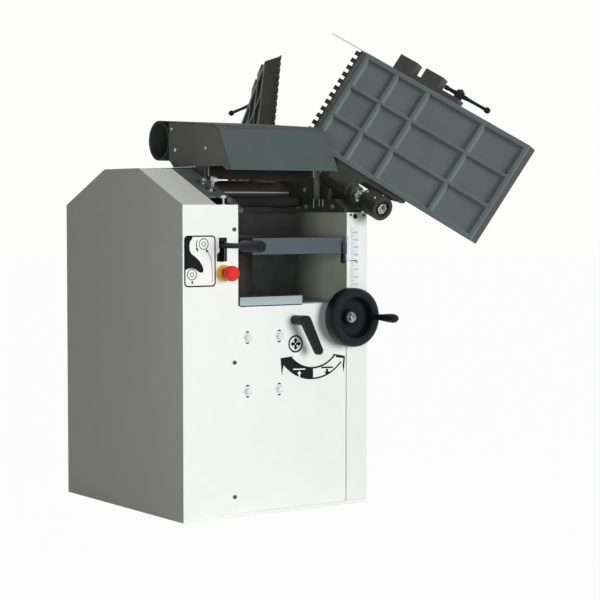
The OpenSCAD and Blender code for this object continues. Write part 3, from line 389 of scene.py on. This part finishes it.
def rounded_box(u0, v0, u1, v1, radius, steps=6):
    """Outline of a rectangle with round corners."""
    return (arc(u1 - radius, v1 - radius, radius, 0, 90, steps) + arc(u0 + radius, v1 - radius, radius, 90, 180, steps)
            + arc(u0 + radius, v0 + radius, radius, 180, 270, steps)
            + arc(u1 - radius, v0 + radius, radius, 270, 360, steps))


def circle(centre, radius, count=24):
    """Outline of a circle, or of a regular polygon with few points."""
    return arc(centre[0], centre[1], radius, 0, 360.0 * (count - 1) / count, count - 1)


def hex_bolt(mesh, place, across_corners, height):
    """A hexagon head with a chamfered top."""
    chamfer_low = height - 0.8
    prism(mesh, circle((0.0, 0.0), across_corners / 2.0, 6), place, 0.0, chamfer_low)
    lathe(mesh, [(across_corners * 0.43, chamfer_low), (across_corners * 0.38, height), (0.0, height)], place, 24)


def socket_screw(mesh, place, radius, height):
    """A round screw head with a hexagon socket."""
    socket = radius * 0.5
    lathe(mesh, [(radius, 0.0), (radius, height * 0.7), (radius * 0.9, height), (socket, height),
                 (socket * 0.94, height * 0.35), (0.0, height * 0.3)], place, 24)


# The rear half mirrors the front one. Swings take the two tables from closed to open, about their slanted hinges
SIDES = {"front": Matrix.Identity(4), "rear": Matrix.Scale(-1.0, 4, Vector((0.0, 1.0, 0.0)))}
HINGE_FRAME = Matrix.Translation(HINGE) @ Matrix.Rotation(HINGE_TILT, 4, "X")
SWINGS = {side: SIDES[side] @ HINGE_FRAME @ Matrix.Rotation(angle, 4, "Y") @ HINGE_FRAME.inverted()
          for side, angle in (("front", FRONT_OPEN), ("rear", REAR_OPEN))}


def on_hinge(along, turn, radius):
    """A place on the round of a hinge: along its axis, turned up from the left, at a radius."""
    out = Vector((-math.cos(math.radians(turn)), 0.0, math.sin(math.radians(turn))))
    return HINGE_FRAME @ facing(Vector((0.0, along, 0.0)) + out * radius, out, (0.0, 1.0, 0.0))


# Handwheel and its crank
mesh = bmesh.new()
WHEEL_PROFILE = [
    (8.05, 10.0), (17.0, 10.0), (19.2, 11.2), (20.0, 13.6), (20.0, 19.6), (24.0, 20.4), (40.0, 21.6), (56.0, 23.0),
    (67.0, 23.0), (72.4, 23.6), (76.4, 25.8), (78.6, 29.0), (79.0, 33.0), (79.0, 52.0), (78.5, 56.6), (77.2, 60.4),
    (74.8, 63.8), (71.4, 66.4), (67.4, 67.8), (62.0, 68.0), (58.6, 67.4), (55.6, 65.6), (53.8, 62.6), (53.0, 58.0),
    (52.2, 46.0), (50.6, 38.4), (46.0, 33.0), (38.0, 29.8), (26.0, 26.8), (21.4, 26.2), (20.0, 27.6), (20.0, 36.6),
    (19.2, 38.8), (17.0, 40.0), (8.05, 40.0),
]
lathe(mesh, WHEEL_PROFILE, facing(WHEEL, FRONT), 96, closed=True)
lathe(mesh, [(0.0, 50.0), (10.0, 50.0), (10.0, 66.9), (9.4, 68.0), (4.0, 68.0), (4.0, 160.3), (0.0, 160.3)],
      facing((CRANK[0], Y_PANEL, CRANK[2]), FRONT), 40)
piece("handwheel_dish", mesh, "black_plastic", "handwheel", "handwheel")

mesh = bmesh.new()
CRANK_PROFILE = [
    (4.05, 0.0), (6.6, 0.0), (7.4, 0.8), (7.5, 3.0), (7.7, 9.0), (8.3, 19.0), (9.4, 32.0), (10.7, 46.0), (11.6, 58.0),
    (12.0, 68.0), (11.9, 75.0), (11.2, 81.0), (9.8, 85.8), (7.8, 89.4), (5.6, 91.4), (4.05, 92.0),
]
lathe(mesh, CRANK_PROFILE, facing(CRANK, FRONT), 48, closed=True)
piece("crank_grip", mesh, "black_plastic", "crank", "crank_handle")

mesh = bmesh.new()
lathe(mesh, [(8.3, 40.0), (14.0, 40.0), (14.0, 41.4), (13.4, 42.0), (8.3, 42.0)], facing(WHEEL, FRONT), 40, closed=True)
hex_bolt(mesh, facing((WHEEL[0], WHEEL[1] - 42.0, WHEEL[2]), FRONT), 22.0, 9.0)
piece("wheel_nut", mesh, "bright_steel", "handwheel", bevel_mm=0.6)

# Bed lock lever: round hub, tapered arm with rounded edges, push cap
LOCK_ARM = 90.0
LOCK_TURN = 27.0
mesh = bmesh.new()
lock_place = facing(LOCK, FRONT)
lathe(mesh, [(0.0, -20.0), (8.0, -20.0), (8.0, 0.3), (11.6, 0.3), (12.4, 1.0), (12.8, 28.0), (13.8, 46.0),
             (13.8, 57.0), (12.8, 59.6), (10.4, 60.3), (9.4, 60.3), (9.2, 59.4), (0.0, 59.4)], lock_place, 48)
arm_axis = Matrix.Rotation(math.radians(LOCK_TURN), 4, "Z")
arm_outline = arc(0.0, 0.0, 13.8, 0, 180, 14) + arc(0.0, -LOCK_ARM, 10.8, 180, 360, 14)
prism(mesh, arm_outline, lock_place @ arm_axis, 45.8, 59.6)
piece("lock_lever_arm", mesh, "black_plastic", "lock_lever", "lock_lever", bevel_mm=2.4)

# Feed lever: rod, collar and long round grip, with its eye on the pivot pin
mesh = bmesh.new()
lever_place = facing((LEVER[0], -130.0, LEVER[2]), FRONT)
LEVER_PROFILE = [
    (0.0, 10.0), (7.0, 10.0), (7.0, 276.0), (8.6, 277.0), (9.0, 279.0), (12.6, 281.0), (14.2, 284.0), (14.9, 290.0),
    (15.0, 300.0), (15.0, 357.0), (14.5, 362.6), (13.2, 366.8), (11.0, 369.2), (8.4, 370.0), (8.0, 369.4), (0.0, 369.2),
]
lathe(mesh, LEVER_PROFILE, lever_place, 48)
lathe(mesh, [(6.05, -10.0), (13.0, -10.0), (14.0, -9.0), (14.0, 9.0), (13.0, 10.0), (6.05, 10.0)],
      facing((LEVER[0], -130.0, LEVER[2]), (1.0, 0.0, 0.0)), 40, closed=True)
piece("feed_lever_grip", mesh, "black_plastic", "feed_lever", "feed_lever")

# Emergency stop: mushroom head on its neck
mesh = bmesh.new()
STOP_PROFILE = [
    (0.0, -14.0), (11.0, -14.0), (11.0, 24.0), (12.6, 24.2), (13.0, 25.0), (13.0, 30.0), (16.6, 30.3), (18.8, 31.6),
    (19.8, 33.8), (20.0, 37.0), (19.8, 43.0), (19.0, 47.0), (17.0, 49.8), (13.4, 51.3), (7.4, 51.9), (0.0, 52.0),
]
lathe(mesh, STOP_PROFILE, facing(STOP, FRONT), 64)
piece("stop_mushroom", mesh, "stop_red", "estop_button", "estop_button")

# Table clamp levers: hub, long arm with ball, short arm with rounded end
CLAMP_Y = -377.0
CLAMP_X1 = TABLE_X0 - 14.3
CLAMP_TURNS = {"front": 0.0, "rear": math.radians(35.0)}
CLAMP_STUD = Matrix.Translation((0.0, CLAMP_Y, TABLE_MID_Z))
for side, table_swing in SWINGS.items():
    mesh = bmesh.new()
    swing = table_swing @ CLAMP_STUD @ Matrix.Rotation(CLAMP_TURNS[side], 4, "X") @ CLAMP_STUD.inverted()
    hub = swing @ facing((CLAMP_X1, CLAMP_Y, TABLE_MID_Z), (-1.0, 0.0, 0.0))
    lathe(mesh, [(5.05, 0.0), (10.6, 0.0), (11.6, 1.0), (12.2, 5.0), (12.5, 12.0), (12.2, 19.0), (11.2, 22.6),
                 (9.0, 24.0), (5.05, 24.0)], hub, 40, closed=True)
    arm = swing @ facing((CLAMP_X1 - 12.0, CLAMP_Y, TABLE_MID_Z), (0.0, -1.0, 0.0))
    lathe(mesh, [(0.0, 6.5), (6.0, 6.5), (6.4, 14.0), (6.0, 22.0), (4.7, 36.0), (4.3, 60.0), (4.6, 84.0), (5.4, 87.6),
                 (7.4, 90.0), (8.4, 93.4), (8.4, 97.0), (7.2, 100.6), (4.8, 103.0), (2.2, 103.5), (2.0, 103.0),
                 (0.0, 103.0)], arm, 32)
    back = swing @ facing((CLAMP_X1 - 12.0, CLAMP_Y, TABLE_MID_Z), (0.0, 1.0, 0.0))
    lathe(mesh, [(0.0, 6.5), (6.2, 6.5), (6.4, 14.0), (5.6, 22.0), (5.2, 34.0), (5.6, 38.0), (6.6, 42.0), (6.8, 46.0),
                 (6.0, 48.8), (3.4, 50.0), (0.0, 50.0)], back, 32)
    piece(side + "_clamp_handle", mesh, "black_plastic", side + "_clamp", side + "_clamp_lever")

# Dark plates on the tables' outer ends and on the slopes under their combs: painted shade
TABLE_HALF = (TABLE_X1 - TABLE_X0) / 2.0 - 2.5
NOSE_MID = (TABLE_MID_X, -59.0, 851.0)
NOSE_OUT = (0.0, 30.0, -34.0)
for side, swing in SWINGS.items():
    mesh = bmesh.new()
    end_place = swing @ facing((TABLE_MID_X, TABLE_END, TABLE_MID_Z), FRONT)
    prism(mesh, rounded_box(-TABLE_HALF, -17.4, TABLE_HALF, 17.4, 2.0), end_place, -0.3, 0.5)
    nose_place = swing @ facing(NOSE_MID, NOSE_OUT)
    prism(mesh, rounded_box(-TABLE_HALF, -21.0, TABLE_HALF, 21.0, 1.0), nose_place, -0.3, 0.5)
    piece(side + "_table_shade_faces", mesh, "table_edge", side + "_table")

# Combs of the tables, with deep gaps between the teeth, and flanges of the hinge arms along the tables
LIP_ROOT = -42.0
LIP_BAR = -37.0
LIP_TIP = -21.2
LIP_TEETH = 13
TOOTH_HALF = 6.4
LIP_T = 8.0
TOOTH_T = 4.0
JOIN = 0.2
FLANGE = [(228.5, -153.0), (242.0, -153.0), (242.0, -394.0), (236.0, -405.0), (228.5, -405.0)]
FLANGE_WEB = [(228.5, -200.0), (255.0, -200.0), (255.0, -335.0), (242.0, -385.0), (228.5, -385.0)]
for side, swing in SWINGS.items():
    top_place = swing @ facing((0.0, 0.0, TABLE_TOP), (0.0, 0.0, 1.0), (0.0, 1.0, 0.0))
    pitch = (TABLE_X1 - TABLE_X0) / LIP_TEETH
    comb = [(TABLE_X1, LIP_ROOT), (TABLE_X1, LIP_BAR)]
    for i in reversed(range(LIP_TEETH)):
        right = TABLE_X0 + (i + 0.5) * pitch + TOOTH_HALF
        left = TABLE_X0 + (i + 0.5) * pitch - TOOTH_HALF
        comb += [(right, LIP_BAR), (right, LIP_TIP), (left, LIP_TIP), (left, LIP_BAR)]
    comb += [(TABLE_X0, LIP_BAR), (TABLE_X0, LIP_ROOT)]
    bar = [(TABLE_X0, LIP_ROOT), (TABLE_X1, LIP_ROOT), (TABLE_X1, LIP_BAR), (TABLE_X0, LIP_BAR)]
    mesh = bmesh.new()
    prism(mesh, comb, top_place, -TOOTH_T, 0.0)
    prism(mesh, bar, top_place, -LIP_T, JOIN - TOOTH_T)
    piece(side + "_comb", mesh, "table_edge", side + "_table", side + "_lip", bevel_mm=0.5)
    mesh = bmesh.new()
    prism(mesh, FLANGE, top_place, -34.0, -6.0)
    prism(mesh, FLANGE_WEB, top_place, -6.5, -1.5)
    piece(side + "_arm_flange", mesh, "dark_casting", side + "_table", bevel_mm=2.0)

# Bright screws in the barrels of the hinge arms
for side, half in SIDES.items():
    mesh = bmesh.new()
    hex_bolt(mesh, half @ on_hinge(-24.0, 40.0, 24.6), 14.0, 5.0)
    piece(side + "_barrel_screw", mesh, "bright_steel", side + "_table", bevel_mm=0.4)

# Hexagon nuts in the recess of the hinge caps
for side, half in SIDES.items():
    mesh = bmesh.new()
    hex_bolt(mesh, half @ HINGE_FRAME @ facing((0.0, -237.0, 0.0), FRONT), 30.0, 11.0)
    piece(side + "_cap_nut", mesh, "bright_steel", "frame", bevel_mm=0.5)

# Control sign on the drive cover, generic, with two knobs and arrows
PRINT = (0.6, 1.0)
KNOB_PRINT = (0.6, 1.3)
UPPER_KNOB = (-230.0, 710.0)
LOWER_KNOB = (-265.0, 633.0)
SWEEP = (-229.5, 708.0)
sign = facing((0.0, Y_COVER, 0.0), FRONT)
plate = rounded_box(-288.0, 601.0, -194.0, 732.0, 11.0)
inset = rounded_box(-284.4, 604.6, -197.6, 728.4, 7.8)
mesh = bmesh.new()
prism(mesh, plate, sign, 0.0, 0.7)
piece("control_sign_plate", mesh, "sign_white", "frame")
mesh = bmesh.new()
band(mesh, inset, plate, sign, *PRINT)
SWOOSH = [
    (-266.0, 729.6), (-276.6, 729.6), (-282.6, 727.0), (-285.6, 720.6), (-285.6, 644.0), (-276.0, 648.0),
    (-266.0, 649.0), (-256.0, 646.6), (-246.0, 640.0), (-239.0, 637.0), (-232.6, 638.4), (-231.0, 645.0),
    (-233.4, 653.0), (-240.0, 664.0), (-249.0, 673.4), (-259.0, 680.4), (-267.0, 686.4), (-271.4, 694.0),
    (-272.6, 705.0), (-271.0, 716.0), (-263.0, 725.6),
]
prism(mesh, SWOOSH, sign, *PRINT)
for inner, outer in ((12.6, 14.6), (5.0, 6.4)):
    band(mesh, circle(UPPER_KNOB, inner), circle(UPPER_KNOB, outer), sign, *PRINT)
for inner, outer in ((12.4, 14.4), (4.6, 6.0)):
    band(mesh, circle(LOWER_KNOB, inner), circle(LOWER_KNOB, outer), sign, *KNOB_PRINT)
band(mesh, arc(*SWEEP, 21.0, 150, 206, 10), arc(*SWEEP, 23.6, 150, 206, 10), sign, *PRINT, closed=False)
prism(mesh, [(-254.8, 700.6), (-246.2, 698.6), (-247.4, 689.8)], sign, *PRINT)
prism(mesh, [(-223.2, 698.0), (-222.6, 688.4), (-214.8, 692.4)], sign, *PRINT)
band(mesh, [(-219.2, 690.2), (-209.2, 673.4), (-205.3, 648.0), (-205.3, 612.0)],
     [(-217.8, 690.9), (-207.8, 673.9), (-203.9, 648.0), (-203.9, 612.0)], sign, *PRINT, closed=False)
prism(mesh, [(-265.7, 608.4), (-263.5, 608.4), (-263.5, 612.0), (-260.4, 612.0), (-264.6, 617.6), (-268.8, 612.0),
             (-265.7, 612.0)], sign, *PRINT)
piece("control_sign_print", mesh, "sign_dark", "frame")

# Round sign with a four-way arrow on the front panel, whose signs have three layers
PANEL_PLATE = (0.0, 0.5)
PANEL_PRINT = (0.4, 0.8)
PANEL_TOP = (0.7, 1.1)
ICON = (58.0, 443.0)
panel = facing((0.0, Y_PANEL, 0.0), FRONT)
mesh = bmesh.new()
prism(mesh, circle(ICON, 23.6, 48), panel, *PANEL_PLATE)
piece("lock_sign_plate", mesh, "sign_white", "frame")
mesh = bmesh.new()
band(mesh, circle(ICON, 18.8, 48), circle(ICON, 23.4, 48), panel, *PANEL_PRINT)
for quarter in range(4):
    turn = Matrix.Translation((*ICON, 0.0)) @ Matrix.Rotation(quarter * math.pi / 2.0, 4, "Z")
    prism(mesh, [(-3.2, 1.8), (3.2, 1.8), (3.2, 7.8), (7.4, 7.8), (0.0, 16.8), (-7.4, 7.8), (-3.2, 7.8)],
          panel @ turn, *PANEL_PRINT)
piece("lock_sign_print", mesh, "sign_dark", "frame")

# Curved double arrow under the handwheel: up on the dark half, down on the white half
ARROW = (115.0, 474.0)
ARROW_IN = 95.0
ARROW_OUT = 128.0
LEFT_END = 222.0
RIGHT_END = 318.0
DOWN = 270.0
ARROW_STEPS = 14


def arrow_half(end, barb_in, tip, barb_out, grow):
    """Outline of one half of the curved arrow, drawn in by a margin."""
    inner = arc(*ARROW, ARROW_IN + grow, DOWN, end, ARROW_STEPS)
    outer = arc(*ARROW, ARROW_OUT - grow, end, DOWN, ARROW_STEPS)
    return inner + [barb_in, tip, barb_out] + outer


mesh = bmesh.new()
prism(mesh, arrow_half(LEFT_END, (57.0, 410.5), (10.0, 407.0), (14.0, 362.0), 0.0), panel, *PANEL_PLATE)
prism(mesh, arrow_half(RIGHT_END, (178.0, 408.0), (221.0, 403.0), (217.0, 360.0), 0.0), panel, *PANEL_PLATE)
piece("lift_sign_dark", mesh, "sign_dark", "frame")
mesh = bmesh.new()
prism(mesh, arrow_half(RIGHT_END, (189.5, 401.4), (215.0, 397.6), (212.0, 373.0), 4.6), panel, *PANEL_PRINT)
UP_ARROW = [(67.6, 354.6), (72.4, 354.6), (72.4, 363.0), (77.0, 363.0), (70.0, 370.6), (63.0, 363.0), (67.6, 363.0)]
prism(mesh, UP_ARROW, panel, *PANEL_PRINT)
prism(mesh, [(50.0, 374.4), (89.0, 373.0), (89.0, 376.0), (50.0, 377.4)], panel, *PANEL_PRINT)
piece("lift_sign_white", mesh, "sign_white", "frame")
mesh = bmesh.new()
DOWN_ARROW = [(157.0, 371.4), (164.0, 371.4), (164.0, 364.0), (169.4, 364.0), (160.5, 353.4), (151.6, 364.0),
              (157.0, 364.0)]
prism(mesh, DOWN_ARROW, panel, *PANEL_TOP)
prism(mesh, [(142.0, 373.6), (180.0, 372.6), (180.0, 377.2), (142.0, 378.2)], panel, *PANEL_TOP)
piece("lift_sign_arrow", mesh, "sign_dark", "frame")

# Thickness scale: a line every 5 mm, longer every 10 mm, numbers every 20 mm
SCALE_X = 236.0
SCALE_Z0 = 476.0
LINE_LEFT = SCALE_X + 1.0
LINE_HALF = 0.5
scale_face = facing((0.0, Y_COVER - 1.0, 0.0), FRONT)
mesh = bmesh.new()
for step in range(2, 55):
    z = SCALE_Z0 + step * 5.0
    reach = 12.0 if step % 2 == 0 else 7.0
    prism(mesh, [(LINE_LEFT, z - LINE_HALF), (LINE_LEFT + reach, z - LINE_HALF),
                 (LINE_LEFT + reach, z + LINE_HALF), (LINE_LEFT, z + LINE_HALF)], scale_face, 0.0, 0.25)
piece("scale_lines", mesh, "sign_grey", "frame")
for step in range(1, 14):
    text = bpy.data.curves.new("scale_number", "FONT")
    text.body = str(step * 20)
    text.size = 8.0
    text.extrude = 0.15
    text.align_x = "RIGHT"
    text.align_y = "CENTER"
    words = bpy.data.objects.new("scale_number", text)
    scene.collection.objects.link(words)
    flat = bpy.data.meshes.new_from_object(words)
    bpy.data.objects.remove(words)
    mesh = bmesh.new()
    mesh.from_mesh(flat)
    bpy.data.meshes.remove(flat)
    bmesh.ops.transform(mesh, verts=mesh.verts,
                        matrix=scale_face @ Matrix.Translation((SCALE_X + 24.0, SCALE_Z0 + step * 20.0, 0.15)))
    piece("scale_number_%d" % (step * 20), mesh, "sign_grey", "frame")

# Hexagon bolts that stand on the head, square to its slope, one of them on the cover's flange
STUD_X = -152.0
ROOF_RISE = 96.0
ROOF_RUN = 220.0
SLOPE = math.atan2(ROOF_RISE, ROOF_RUN)
mesh = bmesh.new()
for y, z, tilt, length, across in ((-284.0, 810.0, 0.0, 24.0, 14.0), (-226.0, 847.5, SLOPE, 38.0, 20.0),
                                   (-187.0, 864.5, SLOPE, 16.0, 14.0)):
    place = facing((STUD_X, y, z), (0.0, -math.sin(tilt), math.cos(tilt)), (0.0, 1.0, 0.0))
    head = across * 0.5
    foot = across * 0.65
    shank = across * 0.23
    lathe(mesh, [(0.0, -2.0), (foot, -2.0), (foot, 2.0), (shank, 2.4), (shank, length - head)], place, 24)
    hex_bolt(mesh, place @ Matrix.Translation((0.0, 0.0, length - head)), across, head)
piece("roof_bolts", mesh, "bright_steel", "frame", "head_studs")

# Motor foot bolts on round washers, and black plates behind their upright slots: painted shade in the slots
WASHER_PROFILE = [(0.0, -22.0), (5.0, -22.0), (5.0, 0.0), (13.2, 0.0), (13.2, 1.3), (12.6, 2.0), (0.0, 2.0)]
ON_WASHER = Matrix.Translation((0.0, 0.0, 2.0)) @ Matrix.Rotation(math.radians(18.0), 4, "Z")
SLOT_RISE = 11.0
SLOT_R = 5.9
mesh = bmesh.new()
for x, z in MOTOR_BOLTS:
    place = facing((x, Y_PANEL, z), FRONT)
    lathe(mesh, WASHER_PROFILE, place, 40)
    hex_bolt(mesh, place @ ON_WASHER, 18.0, 6.4)
piece("motor_bolt_heads", mesh, "plated_steel", "frame", "motor_bolts", bevel_mm=0.4)
# Black plates behind the slots: painted shade.
mesh = bmesh.new()
for x, z in MOTOR_BOLTS:
    slot = arc(x, z + SLOT_RISE, SLOT_R, 0, 180, 12) + arc(x, z - SLOT_RISE, SLOT_R, 180, 360, 12)
    prism(mesh, slot, panel, -4.0, -0.5)
piece("motor_slot_shade", mesh, "black_plastic", "frame")

# Black strips along the chip tray's lip: painted shadow, under the bed at the top and in the gap at the foot
mesh = bmesh.new()
for half in SIDES.values():
    for low, high in ((570.6, 573.3), (545.8, 548.4)):
        prism(mesh, rounded_box(-116.4, low, 79.4, high, 0.8), half @ panel, -2.2, 0.5)
piece("tray_lip_shadow", mesh, "black_plastic", "frame")

# Small screws: cover front, column, hood end plate, rim of the hinge caps
mesh = bmesh.new()
for z in (54.3, 403.4, 746.8):
    socket_screw(mesh, facing((-138.0, Y_COVER - 3.0, z), FRONT), 5.0, 2.4)
piece("front_screws", mesh, "tool_steel", "frame")
mesh = bmesh.new()
for x, z, radius in ((251.0, 779.0, 6.5), (280.0, 782.0, 3.0), (236.0, 783.0, 3.0)):
    socket_screw(mesh, facing((x, Y_COVER, z), FRONT), radius, 3.0)
piece("column_screws", mesh, "black_plastic", "frame")
mesh = bmesh.new()
for y, z, radius in ((4.6, 959.0, 5.0), (22.0, 1016.0, 4.0), (-150.0, 960.0, 4.0)):
    socket_screw(mesh, facing((-120.0, y, z), (-1.0, 0.0, 0.0)), radius, 2.6)
piece("hood_end_screws", mesh, "bright_steel", "hood")
mesh = bmesh.new()
for half in SIDES.values():
    for along, turn in ((-192.0, 60.0), (-232.0, 52.0), (-232.0, 100.0)):
        socket_screw(mesh, half @ on_hinge(along, turn, 32.8), 3.2, 1.6)
piece("cap_screws", mesh, "bright_steel", "frame")

# Clip and pointer line at the bed's right end, white wedge in the lever's gate
mesh = bmesh.new()
clip_place = facing((0.0, -300.0, 0.0), FRONT)
prism(mesh, rounded_box(217.0, 654.0, 228.0, 682.0, 1.5), clip_place, -6.0, 3.0)
piece("bed_clip", mesh, "black_plastic", "bed")
mesh = bmesh.new()
pointer_place = facing((0.0, -320.0, 0.0), FRONT)
prism(mesh, [(230.0, 660.0), (252.0, 659.2), (252.0, 661.6), (230.0, 661.6)], pointer_place, -0.6, 0.4)
piece("bed_pointer_line", mesh, "black_plastic", "bed")
mesh = bmesh.new()
GATE_WEDGE = [(-190.4, 726.6), (-185.2, 726.6), (-185.0, 702.0), (-182.6, 695.0), (-182.6, 691.0), (-186.0, 687.5),
              (-190.4, 684.0)]
prism(mesh, GATE_WEDGE, sign, 0.4, 1.9)
piece("gate_wedge", mesh, "white_paint", "frame")

# Bright steel strips on the cutterblock: painted highlight, three thin lines round the block, one near its front
BLOCK_Z = 841.0
BLOCK_R = 36.0
mesh = bmesh.new()
for turn in (84.0, 204.0, 324.0):
    out = Vector((0.0, -math.sin(math.radians(turn)), math.cos(math.radians(turn))))
    place = facing(Vector((TABLE_MID_X, 0.0, BLOCK_Z)) + out * BLOCK_R, out, (0.0, out.z, -out.y))
    prism(mesh, rounded_box(-143.0, -1.7, 143.0, 1.7, 0.8), place, -0.6, 0.4)
piece("block_highlight_strips", mesh, "brushed_steel", "cutterblock")

# Rubber seal on the roof's ridge, under the hood's end, and a grey strip at the seam between drive cover and front
# panel: painted shadow of the cover's step
mesh = bmesh.new()
ROOF_SEAL = [(-118.0, 893.0), (-92.0, 904.0), (92.0, 904.0), (118.0, 893.0), (118.0, 911.2), (-118.0, 911.2)]
prism(mesh, ROOF_SEAL, facing((-124.0, 0.0, 0.0), (1.0, 0.0, 0.0)), 0.0, 2.6)
piece("roof_seal", mesh, "black_plastic", "frame")
# Grey strip at the seam: painted shadow.
mesh = bmesh.new()
prism(mesh, [(-124.9, 8.0), (-122.6, 8.0), (-122.6, 545.0), (-124.9, 545.0)], panel, -0.2, 0.3)
piece("cover_seam_shadow", mesh, "seam_shadow_grey", "frame")

# Near-black face inside the hood: painted shade
mesh = bmesh.new()
prism(mesh, rounded_box(-117.0, 877.5, 221.0, 990.0, 1.0), facing((0.0, -160.0, 0.0), FRONT), -1.2, 0.5)
piece("hood_shade_face", mesh, "inside_dark", "hood")

# Walls that fill the corners beside the inner hinge lugs, in the lighter end paint: painted light on faces turned to
# the left
LUG_FILL = [(-166.0, 822.0), (-56.0, 822.0), (-56.0, 914.0), (-112.0, 914.0), (-117.0, 880.0), (-150.0, 861.0),
            (-166.0, 854.0)]
mesh = bmesh.new()
for half in SIDES.values():
    prism(mesh, LUG_FILL, half @ facing((284.0, 0.0, 0.0), (1.0, 0.0, 0.0)), 0.0, 7.0)
piece("hinge_lug_walls", mesh, "hood_end_lit_paint", "frame")

# Spring rods and bolts on the inner face of the right bearing wall
HEAD_FACE = 232.0
mesh = bmesh.new()
for y, low, high in ((-149.4, 801.0, 826.0), (-176.0, 806.0, 825.0), (-192.0, 804.0, 825.0)):
    lathe(mesh, [(0.0, low), (1.6, low), (1.6, high), (0.0, high)], Matrix.Translation((HEAD_FACE - 1.6, y, 0.0)), 16)
piece("spring_rods", mesh, "brushed_steel", "frame")
mesh = bmesh.new()
for y, z in ((-236.0, 806.0), (-72.0, 806.0), (-112.0, 806.0), (-104.0, 852.0)):
    socket_screw(mesh, facing((HEAD_FACE, y, z), (-1.0, 0.0, 0.0)), 6.5, 2.2)
piece("head_bolts", mesh, "brushed_steel", "frame")

# Floor, light and camera
FLOOR_REACH = 30.0
BACKDROP_SHARE = 0.97
FLOOR_Z = -0.0002
FLOOR_POINTS = 60
floor_mesh = bmesh.new()
floor_mesh.faces.new([floor_mesh.verts.new((x, y, FLOOR_Z)) for x, y in circle((0.0, 0.0), FLOOR_REACH, FLOOR_POINTS)])
floor_data = bpy.data.meshes.new("floor")
floor_mesh.to_mesh(floor_data)
floor_mesh.free()
floor = bpy.data.objects.new("floor", floor_data)
scene.collection.objects.link(floor)
floor_finish = bpy.data.materials.new("floor_white")
floor_finish.use_nodes = True
tree = floor_finish.node_tree
tree.nodes.remove(tree.nodes["Principled BSDF"])


def seen_directly(tree):
    """1 on camera, glossy and transmission rays, else 0."""
    path = add_node(tree, "ShaderNodeLightPath")
    total = path.outputs["Is Camera Ray"]
    for name in ("Is Glossy Ray", "Is Transmission Ray"):
        most = add_node(tree, "ShaderNodeMath", {"operation": "MAXIMUM"})
        tree.links.new(total, most.inputs[0])
        tree.links.new(path.outputs[name], most.inputs[1])
        total = most.outputs["Value"]
    return total


matt = add_node(tree, "ShaderNodeBsdfDiffuse", Color=srgb(205, 205, 203))
glow = add_node(tree, "ShaderNodeEmission", Color=srgb(255, 255, 255), Strength=1.0)
share = add_node(tree, "ShaderNodeMath", {"operation": "MULTIPLY"})
share.inputs[1].default_value = BACKDROP_SHARE
tree.links.new(seen_directly(tree), share.inputs[0])
blend = add_node(tree, "ShaderNodeMixShader")
tree.links.new(share.outputs["Value"], blend.inputs["Fac"])
tree.links.new(matt.outputs["BSDF"], blend.inputs[1])
tree.links.new(glow.outputs["Emission"], blend.inputs[2])
tree.links.new(blend.outputs["Shader"], tree.nodes["Material Output"].inputs["Surface"])
floor_data.materials.append(floor_finish)
floor.visible_shadow = False

AMBIENT = 0.035
world = bpy.data.worlds.new("studio")
scene.world = world
world.use_nodes = True
tree = world.node_tree
back = tree.nodes["Background"]
back.inputs["Color"].default_value = srgb(253, 253, 252)
tree.links.new(ramp(tree, seen_directly(tree), AMBIENT, 1.0, 0.0, 1.0), back.inputs["Strength"])


def lamp(name, kind, direction, strength, place=(0.0, 0.0, 0.0)):
    """A lamp that shines along a direction and leaves no mirror image of itself."""
    data = bpy.data.lights.new(name, kind)
    data.energy = strength
    made = bpy.data.objects.new(name, data)
    made.location = place
    made.rotation_mode = "QUATERNION"
    made.rotation_quaternion = Vector(direction).to_track_quat("-Z", "Y")
    made.visible_glossy = False
    scene.collection.objects.link(made)
    return data


KEY_SUN = 2.42
REAR_SUN = 1.7
SIDE_WATTS = 5.5
SIDE_PLACE = (-0.95, -1.6, 0.75)
lamp("key", "SUN", (-0.12, 0.985, -0.09), KEY_SUN).angle = math.radians(25.0)
lamp("rear", "SUN", (-0.55, -0.83, -0.1), REAR_SUN).angle = math.radians(40.0)
lamp("side", "AREA", (0.95, 1.6, -0.15), SIDE_WATTS, SIDE_PLACE).size = 0.7

CAMERA_PLACE = (-2.63085, -4.14828, 0.80006)
CAMERA_PITCH = 90.0 - 2.943
CAMERA_YAW = -35.146
lens = bpy.data.cameras.new("camera")
lens.lens = 106.64
lens.sensor_width = 36.0
lens.clip_end = 100.0
camera = bpy.data.objects.new("camera", lens)
camera.location = CAMERA_PLACE
camera.rotation_euler = (math.radians(CAMERA_PITCH), 0.0, math.radians(CAMERA_YAW))
scene.collection.objects.link(camera)
scene.camera = camera
scene.view_settings.view_transform = "Standard"
